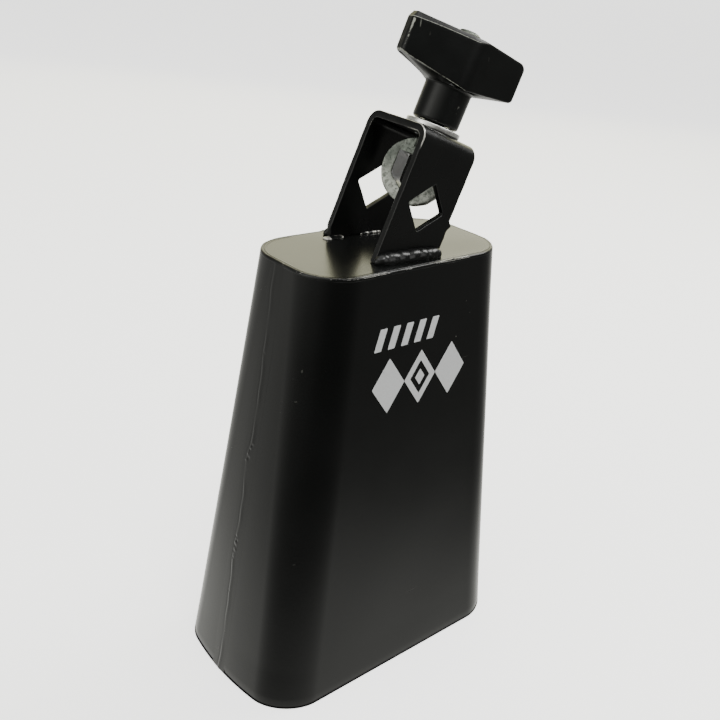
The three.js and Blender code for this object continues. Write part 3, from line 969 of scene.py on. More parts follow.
def t_handle(handle):
    """The T-handle, as rings round the bolt axis.

    The rings go up the bore, out over the top, round the upper edge, down the wings' sides,
    round the lower edge, in under the sloping wings, and down the barrel. A ring of the wings
    is the plan moved in along its normals. The upper edge is a bevel, wider on the left wing,
    and the lower edge is a quarter circle, larger at the ends. Returns the rings and how worn
    each point is.
    """
    outline, normals = wing_outline(handle)
    direction = np.arctan2(outline[:, 1], outline[:, 0])
    circle = np.stack([np.cos(direction), np.sin(direction)], -1)
    top, bottom, hub_under = HANDLE_TOP, BARREL_FOOT, HUB_UNDER
    under = hub_under + WING_SLOPE * np.abs(outline[:, 0] - 1 * MM)
    reach = np.where(outline[:, 0] < 0, handle.left_length, handle.right_length)
    outward = np.abs(outline[:, 0]) / reach
    edge = handle.side_edge + (handle.end_edge - handle.side_edge) * bump_at(outward, 1, 0.06)
    left_wing = np.clip((3 * MM - outline[:, 0]) / (4 * MM), 0, 1)
    right_end = handle.end_edge * bump_at(outward, 1, 0.05) * (1 - left_wing)
    bevel = handle.bevel * (0.55 + 0.95 * left_wing) + right_end
    bevel = bevel + handle.end_bevel * outward**3 * left_wing
    cut_in = np.minimum(bevel, 1.1 * MM) + 0.25 * right_end
    corner = 4 * (normals[:, 0] * normals[:, 1]) ** 2 * bump_at(outward, 1, 0.14) * left_wing
    rubbed = 0.72 + 0.4 * left_wing
    scuffed = bump_at(direction, math.radians(-80), 0.42)
    crisp = 0.2 * MM
    rings, wear = [], []

    def ring(plan, height, worn=0.0):
        """Adds one ring of the surface and how worn it is."""
        rings.append(raised(plan, height))
        wear.append(np.broadcast_to(worn, len(plan)))

    def wings(inset):
        """The wings' plan moved in."""
        return outline - normals * np.broadcast_to(inset, len(outline))[:, None]

    for height in np.linspace(bottom + 0.5 * MM, bottom + SEAT_DEPTH, 12):
        ring(circle * SEAT_RADIUS, height)
    for height in np.linspace(bottom + SEAT_DEPTH + 0.1 * MM, top - 0.4 * MM, 6):
        ring(circle * BORE_RADIUS, height)
    for radius, lower in ((4.45, 0.15), (4.65, 0.0)):
        ring(circle * radius * MM, top - lower * MM, 0.3)
    inner = wings(cut_in + 0.3 * MM)
    for part in np.linspace(0, 1, 10)[1:]:
        ring(circle * 4.65 * MM * (1 - part) + inner * part, top)
    for inset, lower, worn in (
        (cut_in + 0.1 * MM, 0.01 * MM, 0.5 * rubbed),
        (cut_in - 0.3 * crisp, 0.4 * crisp, 0.75 * rubbed),
        (cut_in - 0.9 * crisp, crisp, 0.2 * rubbed),
        (0.7 * cut_in, 0.3 * bevel, 0.0),
        (0.42 * cut_in, 0.58 * bevel, 0.0),
        (0.9 * crisp, bevel - 0.8 * crisp, 0.45 * rubbed),
        (0.2 * crisp, bevel + 0.3 * crisp, rubbed),
        (0.0, bevel + 1.2 * crisp, 0.35 * rubbed),
    ):
        ring(wings(inset), top - lower, worn)
    for part in np.linspace(0, 1, 26)[1:-1]:
        worn = corner * (0.78 + 0.5 * (1 - part) ** 2)
        ring(wings(0), (top - bevel - 2 * crisp) * (1 - part) + (under + edge) * part, worn)
    for turn in np.linspace(0, math.pi / 2, 7):
        worn = (0.3 + 0.6 * math.sin(2 * turn)) * rubbed
        ring(wings(edge * (1 - math.cos(turn))), under + edge * (1 - math.sin(turn)), worn)
    inner = wings(edge + 0.35 * MM)
    fillet, foot = 0.8 * MM, 1.0 * MM
    neck = circle * (handle.barrel + fillet)
    for part in np.linspace(0, 1, 12):
        ring(inner * (1 - part) + neck * part, under * (1 - part) + hub_under * part)
    for turn in np.linspace(0, math.pi / 2, 6)[1:]:
        ring(
            circle * (handle.barrel + fillet * (1 - math.sin(turn))),
            hub_under - fillet * (1 - math.cos(turn)),
            0.1,
        )
    for height in np.linspace(hub_under - 1.2 * MM, bottom + 1.2 * MM, 20):
        taper = DRAFT * (hub_under - height) / (hub_under - bottom)
        worn = 0.1 + 0.62 * scuffed * bump_at(height, 52 * MM, 5 * MM)
        ring(circle * (handle.barrel - taper), height, worn)
    for turn in np.linspace(0, math.pi / 2, 6)[1:]:
        ring(
            circle * (handle.barrel - DRAFT - foot * (1 - math.cos(turn))),
            bottom + foot * (1 - math.sin(turn)),
            0.3,
        )
    ring(circle * 6.0 * MM, bottom)
    points = np.stack(rings)
    soft = 0.03 * MM * ripple(points, 18 * MM, 71, 2)
    return swelled(points, soft - 0.05 * MM, True), np.stack(wear)


def insert_bush():
    """The threaded bush: a lathe profile with two grip grooves and a knurl of fine flutes."""
    start, end = INSERT_ENDS
    bore, outer, groove = 4.05, 5.5, 5.1
    profile = [(bore, start), (outer, start)]
    for low in (start + 6 * MM, start + 14 * MM):
        profile += [(outer, low), (groove, low + 0.5 * MM)]
        profile += [(groove, low + 2 * MM), (outer, low + 2.5 * MM)]
    profile += [(outer, end), (bore, end)]
    profile = softened([(radius * MM, height) for radius, height in profile], 0.2 * MM)
    points = revolve(subdivided(profile, 2 * MM), 144)
    radius = np.hypot(points[..., 0], points[..., 1])
    flutes = 0.08 * MM * np.cos(36 * np.arctan2(points[..., 1], points[..., 0]))
    return swelled(points, flutes * (radius > 5.3 * MM), True)


def on_front_face(x, z, lift):
    """Points on the front face at a width and height, lifted off it."""
    lean = (MOUTH.half_depth - TOP.half_depth) / WALL_HEIGHT
    y = -MOUTH.half_depth + lean * z
    return np.stack([x, y - lift, z + lift * lean], -1)


# How far the middle of the ink's layer lies off the front face.
INK_LIFT = 0.05 * MM


def printed_patch(centre, radius, hole=None):
    """A thin printed shape on the front face, from its outline's radius in each direction.

    With a hole it is a ring of ink between two outlines, and otherwise a filled shape.
    """
    theta = angles(96)
    inner = 0.02 * radius(theta) if hole is None else hole(theta)
    parts = np.linspace(0, 1, 8)
    level = np.concatenate([0 * parts - 0.03 * MM, 0 * parts + 0.035 * MM])
    parts = np.concatenate([parts, parts[::-1]])
    reach = inner + (radius(theta) - inner) * parts[:, None]
    x = centre[0] * MM + reach * np.cos(theta)
    z = centre[1] * MM + reach * np.sin(theta)
    points = on_front_face(x, z, level[:, None] + INK_LIFT + 0 * x)
    return closed(points, wrap_rows=hole is not None)


# The badge, in millimetres: half the height and width of a lozenge, half the width and height
# of a bar, and each row's place and step.
LOZENGE_TALL, LOZENGE_WIDE = 9.4, 6.9
BAR_WIDE, BAR_TALL = 1.35, 3.6
MIDDLE_LOZENGE, LOZENGE_STEP = (0.9, 112.5), 13.8
FIRST_BAR, BAR_STEP = (-17.2, 128.6), 5.6


def badge():
    """A plain badge: three lozenges, the middle one open, under five slanted bars."""
    quarters = ((1, 1), (-1, 1), (-1, -1), (1, -1))
    corners = [math.atan2(LOZENGE_WIDE * up, LOZENGE_TALL * across) for across, up in quarters]
    side = LOZENGE_WIDE * LOZENGE_TALL / math.hypot(LOZENGE_WIDE, LOZENGE_TALL) * MM

    def lozenge(size):
        """A lozenge's outline at a share of its full size."""
        return lambda theta: size * flat_sided_radius(theta, corners, [side] * 4, 60)

    x, z = MIDDLE_LOZENGE
    blocks = [printed_patch((x + step, z), lozenge(1.0)) for step in (-LOZENGE_STEP, LOZENGE_STEP)]
    blocks.append(printed_patch(MIDDLE_LOZENGE, lozenge(1.0), lozenge(0.62)))
    blocks.append(printed_patch(MIDDLE_LOZENGE, lozenge(0.3)))
    tilt = math.radians(72)
    normals = [tilt - math.pi / 2, tilt + math.pi / 2, math.pi / 2, -math.pi / 2]

    reach = np.array([BAR_WIDE, BAR_WIDE, BAR_TALL, BAR_TALL]) * MM

    def bar(theta):
        """A slanted bar's outline."""
        return flat_sided_radius(theta, normals, reach, 60)

    x, z = FIRST_BAR
    blocks += [printed_patch((x + BAR_STEP * k, z), bar) for k in range(5)]
    return blocks


# ---------------------------------------------------------------- finishes


# Linear colours of dust, paint that shows through the print, rubbed steel (a painted highlight along
# the plate's edge weld), the zinc's oxide and bloom, painted shade on the eye and painted light on its
# window's wall.
DUST = (0.30, 0.30, 0.27)
BARE_PATCH = (0.05, 0.05, 0.05)
STEEL = (0.55, 0.54, 0.50)
DULL_OXIDE = (0.16, 0.175, 0.155)
DARK_OXIDE = (0.07, 0.075, 0.065)
PAINTED_SHADE = (0.11, 0.125, 0.11)
BLOOM = (0.70, 0.70, 0.64)
WALL_LIGHT_COLOUR = (0.92, 0.91, 0.93)

# Heights between which painted shade darkens the zinc of the eye, in millimetres.
SHADED_FROM, SHADED_TO = 170, 179


class Wire:
    """One output socket of a node tree. Arithmetic on it adds Math nodes."""

    def __init__(self, tree, socket):
        self.tree = tree
        self.socket = socket

    def maths(self, operation, *operands):
        """A Math node on these operands, which are wires or numbers."""
        return self.tree.node("ShaderNodeMath", {"operation": operation}, dict(enumerate(operands)))

    def __add__(self, other):
        return self.maths("ADD", self, other)

    def __radd__(self, other):
        return self.maths("ADD", other, self)

    def __sub__(self, other):
        return self.maths("SUBTRACT", self, other)

    def __rsub__(self, other):
        return self.maths("SUBTRACT", other, self)

    def __mul__(self, other):
        return self.maths("MULTIPLY", self, other)

    def __rmul__(self, other):
        return self.maths("MULTIPLY", other, self)

    def __pow__(self, other):
        return self.maths("POWER", self, other)

    def between(self, low, high):
        """0 below low, 1 above high and a smooth rise between them."""
        return self.tree.node(
            "ShaderNodeMapRange",
            {"interpolation_type": "SMOOTHSTEP"},
            {"Value": self, "From Min": low, "From Max": high},
        )


class Tree:
    """A node tree being built."""

    def __init__(self, nodes, links):
        self.nodes = nodes
        self.links = links

    def node(self, kind, settings=None, sockets=None, output=0):
        """A node of this type: its settings are set first, then its sockets' values or links."""
        made = self.nodes.new(kind)
        for key, value in (settings or {}).items():
            setattr(made, key, value)
        for key, value in (sockets or {}).items():
            self.feed(made, key, value)
        return Wire(self, made.outputs[output])

    def feed(self, made, key, value):
        """Links a wire to a node's socket, or sets the socket's own value."""
        if isinstance(value, Wire):
            self.links.new(value.socket, made.inputs[key])
        else:
            made.inputs[key].default_value = value

    def place(self, scale=(1, 1, 1)):
        """Object coordinates in millimetres, each axis scaled."""
        coordinates = self.node("ShaderNodeTexCoord", output="Object")
        return self.node(
            "ShaderNodeMapping", {}, {"Vector": coordinates, "Scale": [s / MM for s in scale]}
        )

    def noise(self, place, wavelength, detail=2.0, distortion=0.0):
        """Smooth noise from 0 to 1 with this wavelength in millimetres."""
        sockets = {"Vector": place, "Scale": 1 / wavelength, "Detail": detail, "Distortion": distortion}
        return self.node("ShaderNodeTexNoise", {}, sockets)

    def cells(self, place, size, output="Distance"):
        """A Voronoi pattern with cells of this size in millimetres."""
        return self.node("ShaderNodeTexVoronoi", {}, {"Vector": place, "Scale": 1 / size}, output)

    def worn(self):
        """The piece's own wear attribute, which on the eye holds painted light and on the plate's edge weld
        a painted highlight.
        """
        return self.node("ShaderNodeAttribute", {"attribute_name": WEAR_AND_LIGHT}, output="Fac")

    def mix(self, factor, first, second):
        """A colour between two colours, which are wires or three numbers."""
        sockets = {0: factor}
        for key, value in ((6, first), (7, second)):
            sockets[key] = value if isinstance(value, Wire) else (*value, 1)
        return self.node("ShaderNodeMix", {"data_type": "RGBA"}, sockets, 2)

    def shades(self, factor, tint, dark, light):
        """A colour between a darker and a lighter shade of the tint."""
        return self.mix(factor, [dark * c for c in tint], [light * c for c in tint])

    def bump(self, height, depth):
        """A normal tilted by a height from 0 to 1 that is this many millimetres deep."""
        return self.node("ShaderNodeBump", {}, {"Height": height, "Distance": depth * MM, "Strength": 1.0})


class Finish(Tree):
    """A material with one Principled shader, whose constants are set on its own sockets."""

    def __init__(self, name, **constants):
        self.material = bpy.data.materials.new(name)
        self.material.use_nodes = True
        tree = self.material.node_tree
        super().__init__(tree.nodes, tree.links)
        self.shader = tree.nodes["Principled BSDF"]
        for key, value in constants.items():
            self.shader.inputs[key.replace("_", " ")].default_value = value

    def coat(self, **sockets):
        """Feeds the shader's sockets and returns the material."""
        for key, value in sockets.items():
            name = key.replace("_", " ")
            if not isinstance(value, Wire) and hasattr(value, "__len__"):
                value = (*value, 1)
            self.feed(self.shader, name, value)
        return self.material


def powder_coat(name, tint, roughness, grain, specular=0.35):
    """Black powder coat: orange peel, cloudy sheen, pale dust specks and a few fine scratches."""
    paint = Finish(name, Specular_IOR_Level=specular)
    place = paint.place()
    cloud = paint.noise(place, 26, 3)
    peel = paint.noise(place, 1.5, 2)
    grit = paint.noise(place, 0.45, 1)
    specks = 1 - paint.cells(place, 5.5).between(0.022, 0.05)
    few = paint.noise(place, 17, 1).between(0.56, 0.66)
    streak = paint.noise(paint.place((0.06, 0.9, 0.9)), 1.6, 2, 0.3).between(0.71, 0.76)
    dust = specks * few
    scuffs = streak * paint.noise(place, 21, 1).between(0.6, 0.72)
    marks = dust * 0.55 + scuffs * 0.16
    base = paint.shades(cloud, tint, 0.75, 1.35)
    gloss = cloud * 0.10 + grit * 0.05 + dust * 0.2 + scuffs * 0.12 + (roughness - 0.075)
    return paint.coat(
        Base_Color=paint.mix(marks, base, DUST),
        Roughness=gloss,
        Normal=paint.bump(peel * 0.75 + grit * 0.25, grain),
    )


def worn_paint(name, tint):
    """Powder coat on the strap, beads and plate's edge, rubbed through to steel where it is worn; on the
    plate's edge weld the same steel is a painted highlight.
    """
    paint = Finish(name, Specular_IOR_Level=0.4)
    place = paint.place()
    cloud = paint.noise(place, 18, 3)
    peel = paint.noise(place, 1.3, 2)
    ragged = paint.noise(place, 1.1, 4, 0.6)
    # Where the wear attribute marks the plate's edge weld, this rubbed steel is a painted highlight.
    rubbed = (paint.worn() + ragged * 0.75).between(1.12, 1.32)
    specks = 1 - paint.cells(place, 6).between(0.02, 0.045)
    dust = specks * paint.noise(place, 12, 1).between(0.5, 0.62)
    base = paint.shades(cloud, tint, 0.8, 1.3)
    base = paint.mix(dust * 0.5, base, DUST)
    return paint.coat(
        Base_Color=paint.mix(rubbed, base, STEEL),
        Metallic=rubbed * 0.6,
        Roughness=cloud * 0.12 + 0.22 + rubbed * 0.08,
        Normal=paint.bump(peel * 0.8 - rubbed * 0.5, 0.035),
    )


def dull_zinc(name, tint):
    """Galvanised zinc: spangles of different greys, white bloom, pits and oxide, painted shade towards the
    top of the eye and painted light on its window's wall.
    """
    zinc = Finish(name)
    place = zinc.place()
    spangle = zinc.cells(place, 1.3, output="Color")
    grey = zinc.node("ShaderNodeRGBToBW", {}, {"Color": spangle})
    cloud = zinc.noise(place, 3.6, 4, 0.5)
    bloom = zinc.noise(place, 1.0, 5, 0.9).between(0.50, 0.62)
    pits = 1 - zinc.cells(place, 0.9).between(0.08, 0.3)
    scratch = zinc.noise(zinc.place((0.25, 1, 1)), 0.7, 4, 1.2).between(0.60, 0.68)
    dark = zinc.shades(grey, tint, 0.45, 1.5)
    tone = zinc.mix(cloud.between(0.42, 0.62) * 0.7, dark, DULL_OXIDE)
    tone = zinc.mix(bloom * 0.3, tone, BLOOM)
    tone = zinc.mix(pits * 0.5 + scratch * 0.5, tone, DARK_OXIDE)
    # Painted shade: the eye's zinc is painted darker towards the top, where it hangs under the strap's
    # crown.
    height = zinc.node("ShaderNodeSeparateXYZ", {}, {"Vector": place}, "Z")
    tone = zinc.mix(height.between(SHADED_FROM, SHADED_TO) * 0.8, tone, PAINTED_SHADE)
    # Painted light: near-white, not metallic, where the wear attribute marks the window's wall.
    lit_wall = zinc.worn().between(0.2, 0.6)
    tone = zinc.mix(lit_wall * 0.95, tone, WALL_LIGHT_COLOUR)
    return zinc.coat(
        Base_Color=tone,
        Metallic=(1 - bloom * 0.45) * (1 - lit_wall),
        Roughness=grey * 0.14 + cloud * 0.16 + 0.20 + bloom * 0.12,
        Normal=zinc.bump(cloud * 0.6 + grey * 0.2 - pits * 0.35 - scratch * 0.3, 0.16),
    )


def bright_metal(name, tint, streak_axis):
    """Bright plated metal with fine streaks along one direction and a few dull patches."""
    metal = Finish(name)
    scale = [1.0, 1.0, 1.0]
    scale[streak_axis] = 0.12
    streaks = metal.noise(metal.place(scale), 0.35, 3)
    patches = metal.noise(metal.place(), 3.5, 3).between(0.48, 0.7)
    return metal.coat(
        Base_Color=metal.shades(streaks.between(0.3, 0.7), tint, 0.85, 1),
        Metallic=1 - patches * 0.25,
        Roughness=streaks * 0.06 + 0.27 + patches * 0.08,
        Normal=metal.bump(streaks, 0.006),
    )


def moulded_plastic(name, tint, scuff):
    """Black moulded plastic: faint mould texture, edges scuffed pale and short rubbed marks."""
    plastic = Finish(name, Specular_IOR_Level=0.28)
    place = plastic.place()
    cloud = plastic.noise(place, 9, 3)
    texture = plastic.noise(place, 0.5, 2)
    ragged = plastic.noise(place, 0.9, 4, 0.5)
    rubbed = (plastic.worn() + ragged * 0.8).between(1.16, 1.42)
    scrape = plastic.noise(plastic.place((0.8, 0.8, 0.14)), 0.8, 3, 0.4).between(0.66, 0.72)
    marks = scrape * plastic.noise(place, 6.5, 1).between(0.56, 0.68)
    base = plastic.shades(cloud, tint, 0.8, 1.5)
    return plastic.coat(
        Base_Color=plastic.mix(rubbed * 0.85 + marks * 0.3, base, scuff),
        Roughness=cloud * 0.12 + 0.30 + rubbed * 0.15 + marks * 0.2,
        Normal=plastic.bump(texture * 0.4 + cloud * 0.6 - marks * 0.4, 0.05),
    )


def printed_ink(name, tint):
    """Flat silver-grey screen print with a fine mesh mottle and a few worn specks."""
    ink = Finish(name, Specular_IOR_Level=0.3)
    place = ink.place()
    mottle = ink.noise(place, 0.6, 3)
    worn = ink.noise(place, 1.3, 4).between(0.70, 0.76)
    tone = ink.shades(mottle, tint, 0.9, 1.1)
    return ink.coat(
        Base_Color=ink.mix(worn * 0.6, tone, BARE_PATCH),
        Roughness=mottle * 0.15 + 0.42,
        Normal=ink.bump(mottle, 0.01),
    )


def pale_floor(name, tint):
    """Plain pale studio floor that glows a little, so that it stays pale far away."""
    floor = Finish(name, Specular_IOR_Level=0.1, Emission_Strength=1.9, Emission_Color=(1, 1, 0.99, 1))
    cloud = floor.noise(floor.place(), 900, 2)
    return floor.coat(Base_Color=floor.shades(cloud, tint, 1, 0.985), Roughness=0.8)


# ---------------------------------------------------------------- operators


class COWBELL_OT_shells(bpy.types.Operator):
    """Make the two bent half shells of the wall"""

    bl_idname = "cowbell.shells"
    bl_label = "Half shells"

    def execute(self, context):
        bell = context.scene.cowbell_bell
        paint = powder_coat("body_paint", bell.paint, bell.paint_roughness, 0.010)
        for node, turned, seed in (("front_shell", False, 11), ("rear_shell", True, 12)):
            block = half_shell(bell, turned, seed)
            add_piece(f"{node}_skin", "bell", [node], [block], paint)
        return {"FINISHED"}


class COWBELL_OT_seams(bpy.types.Operator):
    """Make the welds along the two narrow sides"""

    bl_idname = "cowbell.seams"
    bl_label = "Seam welds"

    def execute(self, context):
        bell = context.scene.cowbell_bell
        paint = powder_coat("seam_paint", bell.paint, bell.paint_roughness, 0.010)
        for node, turned, seed in (("left_seam_weld", False, 21), ("right_seam_weld", True, 25)):
            block = seam_weld(bell, turned, seed)
            add_piece(f"{node}_bead", "bell", [node], [block], paint)
        return {"FINISHED"}


class COWBELL_OT_top(bpy.types.Operator):
    """Make the top plate and the ground weld round its edge"""

    bl_idname = "cowbell.top"
    bl_label = "Top plate"

    def execute(self, context):
        bell = context.scene.cowbell_bell
        gloss = powder_coat("plate_paint", bell.paint, bell.plate_roughness, 0.008, 0.5)
        add_piece("top_plate_skin", "bell", ["top_plate"], [top_plate()], gloss, None, 60)
        edge = worn_paint("edge_paint", bell.paint)
        # The edge weld's wear attribute carries its painted highlight.
        block, bare_and_highlight = top_edge_weld(bell)
        add_piece("top_edge_bead", "bell", ["top_edge_weld"], [block], edge, bare_and_highlight.ravel(), 80)
        return {"FINISHED"}


class COWBELL_OT_strap(bpy.types.Operator):
    """Make the bent strap of the clamp, with its diamonds and its worn edges"""

    bl_idname = "cowbell.strap"
    bl_label = "Clamp strap"

    def execute(self, context):
        clamp = context.scene.cowbell_clamp
        bell = context.scene.cowbell_bell
        blocks, wear = clamp_strap(clamp)
        blocks = [(in_clamp(vertices), faces) for vertices, faces in blocks]
        paint = worn_paint("strap_paint", bell.paint)
        add_piece("clamp_strap", "bell", ["clamp_bracket"], blocks, paint, wear, 60, True)
        return {"FINISHED"}


class COWBELL_OT_foot_welds(bpy.types.Operator):
    """Make the beads and tacks that hold the strap's feet"""

    bl_idname = "cowbell.foot_welds"
    bl_label = "Foot welds"

    def execute(self, context):
        clamp = context.scene.cowbell_clamp
        bell = context.scene.cowbell_bell
        paint = worn_paint("bead_paint", bell.paint)
        for node, *sizes, bareness in foot_welds(clamp):
            block, bare_and_highlight = foot_bead(*sizes)
            add_piece(f"{node}_bead", "bell", [node], [block], paint, bareness * bare_and_highlight)
        return {"FINISHED"}


class COWBELL_OT_eye_bolt(bpy.types.Operator):
    """Make the eye bolt with its window and thread"""

    bl_idname = "cowbell.eye_bolt"
    bl_label = "Eye bolt"

    def execute(self, context):
        clamp = context.scene.cowbell_clamp
        ring, lit_wall_mask = eye_ring(clamp)
        ring = on_bolt(ring, EYE_TURN, EYE_HEIGHT)
        shank = on_bolt(bolt_thread(clamp, *SHANK_ENDS), EYE_TURN, EYE_HEIGHT)
        zinc = dull_zinc("eye_zinc", clamp.zinc)
        blocks = [closed(ring, True), closed(shank)]
        # The eye's wear attribute holds only the painted light on its window's wall.
        wear = np.concatenate([lit_wall_mask.ravel(), np.zeros(len(blocks[1][0]))])
        add_piece("eye_bolt_forging", "eye", ["eye_bolt"], blocks, zinc, wear, 50)
        return {"FINISHED"}


class COWBELL_OT_washer(bpy.types.Operator):
    """Make the flat washer under the handle"""

    bl_idname = "cowbell.washer"
    bl_label = "Washer"

    def execute(self, context):
        clamp = context.scene.cowbell_clamp
        block = closed(on_bolt(washer_ring(clamp), 0.0, WASHER_FOOT), True)
        metal = bright_metal("washer_zinc", clamp.bright_zinc, 2)
        add_piece("flat_washer_ring", "washer", ["flat_washer"], [block], metal)
        return {"FINISHED"}


class COWBELL_OT_handle(bpy.types.Operator):
    """Make the moulded T-handle"""

    bl_idname = "cowbell.handle"
    bl_label = "T-handle"

    def execute(self, context):
        handle = context.scene.cowbell_handle
        points, wear = t_handle(handle)
        block = closed(on_bolt(points, handle.turn), True)
        plastic = moulded_plastic("handle_plastic", handle.plastic, handle.scuff)
        add_piece("t_handle_moulding", "handle", ["t_handle"], [block], plastic, wear)
        return {"FINISHED"}


class COWBELL_OT_insert(bpy.types.Operator):
    """Make the threaded bush inside the handle"""

    bl_idname = "cowbell.insert"
    bl_label = "Handle insert"

    def execute(self, context):
        clamp = context.scene.cowbell_clamp
        block = closed(on_bolt(insert_bush()), True)
        metal = bright_metal("insert_steel", [0.8 * c for c in clamp.bright_zinc], 0)
        add_piece("handle_insert_bush", "handle", ["handle_insert"], [block], metal)
        return {"FINISHED"}


class COWBELL_OT_badge(bpy.types.Operator):
    """Print the plain badge on the front face"""

    bl_idname = "cowbell.badge"
    bl_label = "Badge"

    def execute(self, context):
        ink = printed_ink("badge_print", context.scene.cowbell_bell.print_ink)
        add_piece("front_badge", "bell", [], badge(), ink)
        return {"FINISHED"}


def set_down(thing, place, right, up, back):
    """Links an object at a place, with its own three axes along these."""
    turn = Matrix(np.stack([right, up, back], 1).tolist())
    thing.matrix_world = Matrix.Translation(place) @ turn.to_4x4()
    bpy.context.scene.collection.objects.link(thing)


def soft_light(name, place, size, watts, tint):
    """A rectangular area light at a place, facing the top of the bell."""
    data = bpy.data.lights.new(name, "AREA")
    data.shape = "RECTANGLE"
    data.size, data.size_y = size
    data.energy = watts
    data.color = tint
    light = bpy.data.objects.new(name, data)
    back = np.array(place) - np.array([0, 0, BODY_HEIGHT])
    back /= np.linalg.norm(back)
    side = np.cross((0, 0, 1), back)
    side /= np.linalg.norm(side)
    set_down(light, place, side, np.cross(back, side), back)


def place_camera(stage):
    """The camera on its line from the middle of the body, rolled and raised in its own frame."""
    level = math.cos(stage.elevation)
    back = np.array(
        [level * math.cos(stage.azimuth), level * math.sin(stage.azimuth), math.sin(stage.elevation)]
    )
    right = np.cross(-back, (0, 0, 1))
    right /= np.linalg.norm(right)
    up = np.cross(right, -back)
    cos, sin = math.cos(stage.roll), math.sin(stage.roll)
    across = cos * right + sin * up
    above = cos * up - sin * right
    place = np.array([0, 0, BODY_HEIGHT / 2]) + back * stage.distance + above * stage.rise
    data = bpy.data.cameras.new("camera")
    data.lens = stage.lens
    data.sensor_width = 36
    data.clip_start = 0.01
    camera = bpy.data.objects.new("camera", data)
    set_down(camera, place, across, above, back)
    bpy.context.scene.camera = camera


# The floor's flat radius and the radius of its upward curve, in metres.
FLOOR_FLAT = 4.0
FLOOR_CURVE = 3.0


def make_floor(stage):
    """A pale floor that curves up far away: a flat disc, then a quarter circle, turned about Z."""
    flat = np.linspace(0.02, 1, 14) ** 1.5 * FLOOR_FLAT
    turn = np.linspace(0, 0.9 * math.pi / 2, 12)[1:]
    radius = np.concatenate([flat, FLOOR_FLAT + FLOOR_CURVE * np.sin(turn)])
    height = np.concatenate([0 * flat, FLOOR_CURVE * (1 - np.cos(turn))])
    points = around(radius[:, None], angles(96), height[:, None])
    rows, cols = points.shape[:2]
    faces = np.concatenate([grid_quads(rows, cols, False)[:, ::-1], cap_quads(cols)])
    mesh = bpy.data.meshes.new("floor")
    mesh.from_pydata(points.reshape(-1, 3).tolist(), [], faces.tolist())
    mesh.shade_smooth()
    mesh.materials.append(pale_floor("floor_paint", stage.floor))
    floor = bpy.data.objects.new("floor", mesh)
    bpy.context.scene.collection.objects.link(floor)
    floor.visible_glossy = False
    floor.visible_diffuse = False


# Soft patches of the studio's walls: azimuth and elevation in degrees, how tight, how bright.
WALL_PATCHES = (
    (48, 26, 5.0, 0.36),
    (41, 0, 9.0, 1.10),
    (47, -26, 4.0, 0.90),
    (131, -24, 5.0, 0.75),
    (-164, 24, 10.0, 1.15),
    (168, 18, 30.0, 4.0),
    (-42, -14, 8.0, 0.14),
)
WALL_BASE = 0.08

# The glow from below: its strength, and the sines of the angles down where it starts and is full.
FLOOR_GLOW = 0.80
GLOW_STARTS = 0.43
GLOW_FULL = 0.57


def make_world():
    """The studio round the bell: a dim base and soft patches, each a power of a cosine."""
    world = bpy.data.worlds.new("studio")
    world.use_nodes = True
    nodes = world.node_tree.nodes
    tree = Tree(nodes, world.node_tree.links)
    direction = tree.node("ShaderNodeTexCoord", output="Generated")

    def facing(aim):
        """The cosine of the angle to a direction."""
        sockets = {0: direction, 1: aim}
        return tree.node("ShaderNodeVectorMath", {"operation": "DOT_PRODUCT"}, sockets, "Value")

    bright = WALL_BASE
    for azimuth, elevation, tight, strength in WALL_PATCHES:
        turn, rise = math.radians(azimuth), math.radians(elevation)
        aim = (math.cos(rise) * math.cos(turn), math.cos(rise) * math.sin(turn), math.sin(rise))
        cosine = facing(aim)
        bright = cosine.maths("MAXIMUM", cosine, 0.0) ** tight * strength + bright
    bright = facing((0, 0, -1)).between(GLOW_STARTS, GLOW_FULL) * FLOOR_GLOW + bright
    background = nodes["Background"]
    background.inputs["Color"].default_value = (1.0, 1.0, 0.94, 1)
    tree.feed(background, "Strength", bright)
    bpy.context.scene.world = world


# The tints of the lights.
OLIVE = (1, 0.96, 0.42)
PLAIN = (1, 1, 0.98)

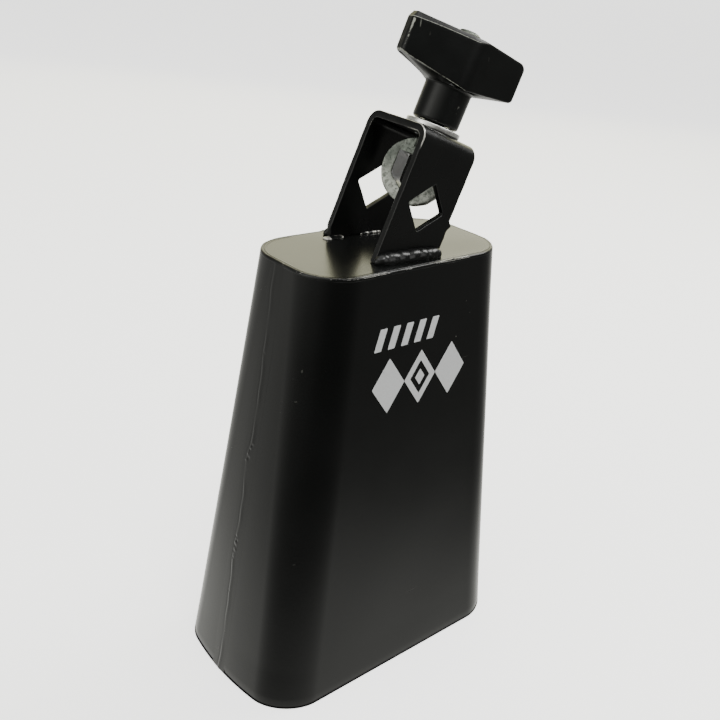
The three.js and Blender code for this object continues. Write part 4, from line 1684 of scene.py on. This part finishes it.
# The lights: the setting that holds the power, place and size in metres, and tint.
SOFT_LIGHTS = (
    ("back_card", (0.75, 0.80, 0.62), (1.5, 0.9), OLIVE),
    ("overhead", (-0.15, 0.1, 1.3), (1.4, 1.4), PLAIN),
    ("side_card", (0.68, -0.12, 0.88), (0.45, 0.45), PLAIN),
    ("key", (-0.10, -0.42, 1.05), (0.24, 0.24), PLAIN),
    ("front_fill", (0.25, -1.0, 0.80), (0.8, 0.8), PLAIN),
)


class COWBELL_OT_stage(bpy.types.Operator):
    """Make the camera, the soft lights and the pale floor"""

    bl_idname = "cowbell.stage"
    bl_label = "Stage"

    def execute(self, context):
        stage = context.scene.cowbell_stage
        place_camera(stage)
        make_floor(stage)
        make_world()
        for name, place, size, tint in SOFT_LIGHTS:
            soft_light(name, place, size, getattr(stage, name), tint)
        return {"FINISHED"}


OPERATORS = (
    COWBELL_OT_stage,
    COWBELL_OT_shells,
    COWBELL_OT_seams,
    COWBELL_OT_top,
    COWBELL_OT_strap,
    COWBELL_OT_foot_welds,
    COWBELL_OT_eye_bolt,
    COWBELL_OT_washer,
    COWBELL_OT_handle,
    COWBELL_OT_insert,
    COWBELL_OT_badge,
)


class COWBELL_PT_pieces(bpy.types.Panel):
    """Lists the pieces and the settings"""

    bl_idname = "COWBELL_PT_pieces"
    bl_label = "Cowbell"
    bl_space_type = "VIEW_3D"
    bl_region_type = "UI"
    bl_category = "Cowbell"

    def draw(self, context):
        for operator in OPERATORS:
            self.layout.operator(operator.bl_idname)
        for name, group in SETTINGS.items():
            box = self.layout.box()
            for key in group.__annotations__:
                box.prop(getattr(context.scene, name), key)


def register():
    """Registers the settings, the operators and the panel."""
    for group in SETTINGS.values():
        bpy.utils.register_class(group)
    for kind in (*OPERATORS, COWBELL_PT_pieces):
        bpy.utils.register_class(kind)
    for name, group in SETTINGS.items():
        setattr(bpy.types.Scene, name, bpy.props.PointerProperty(type=group))


def unregister():
    """Takes them away again."""
    for name in SETTINGS:
        delattr(bpy.types.Scene, name)
    for kind in (COWBELL_PT_pieces, *reversed(OPERATORS), *reversed(SETTINGS.values())):
        bpy.utils.unregister_class(kind)


def main():
    """Builds everything."""
    register()
    for operator in OPERATORS:
        module, name = operator.bl_idname.split(".")
        getattr(getattr(bpy.ops, module), name)()


if __name__ == "__main__":
    main()
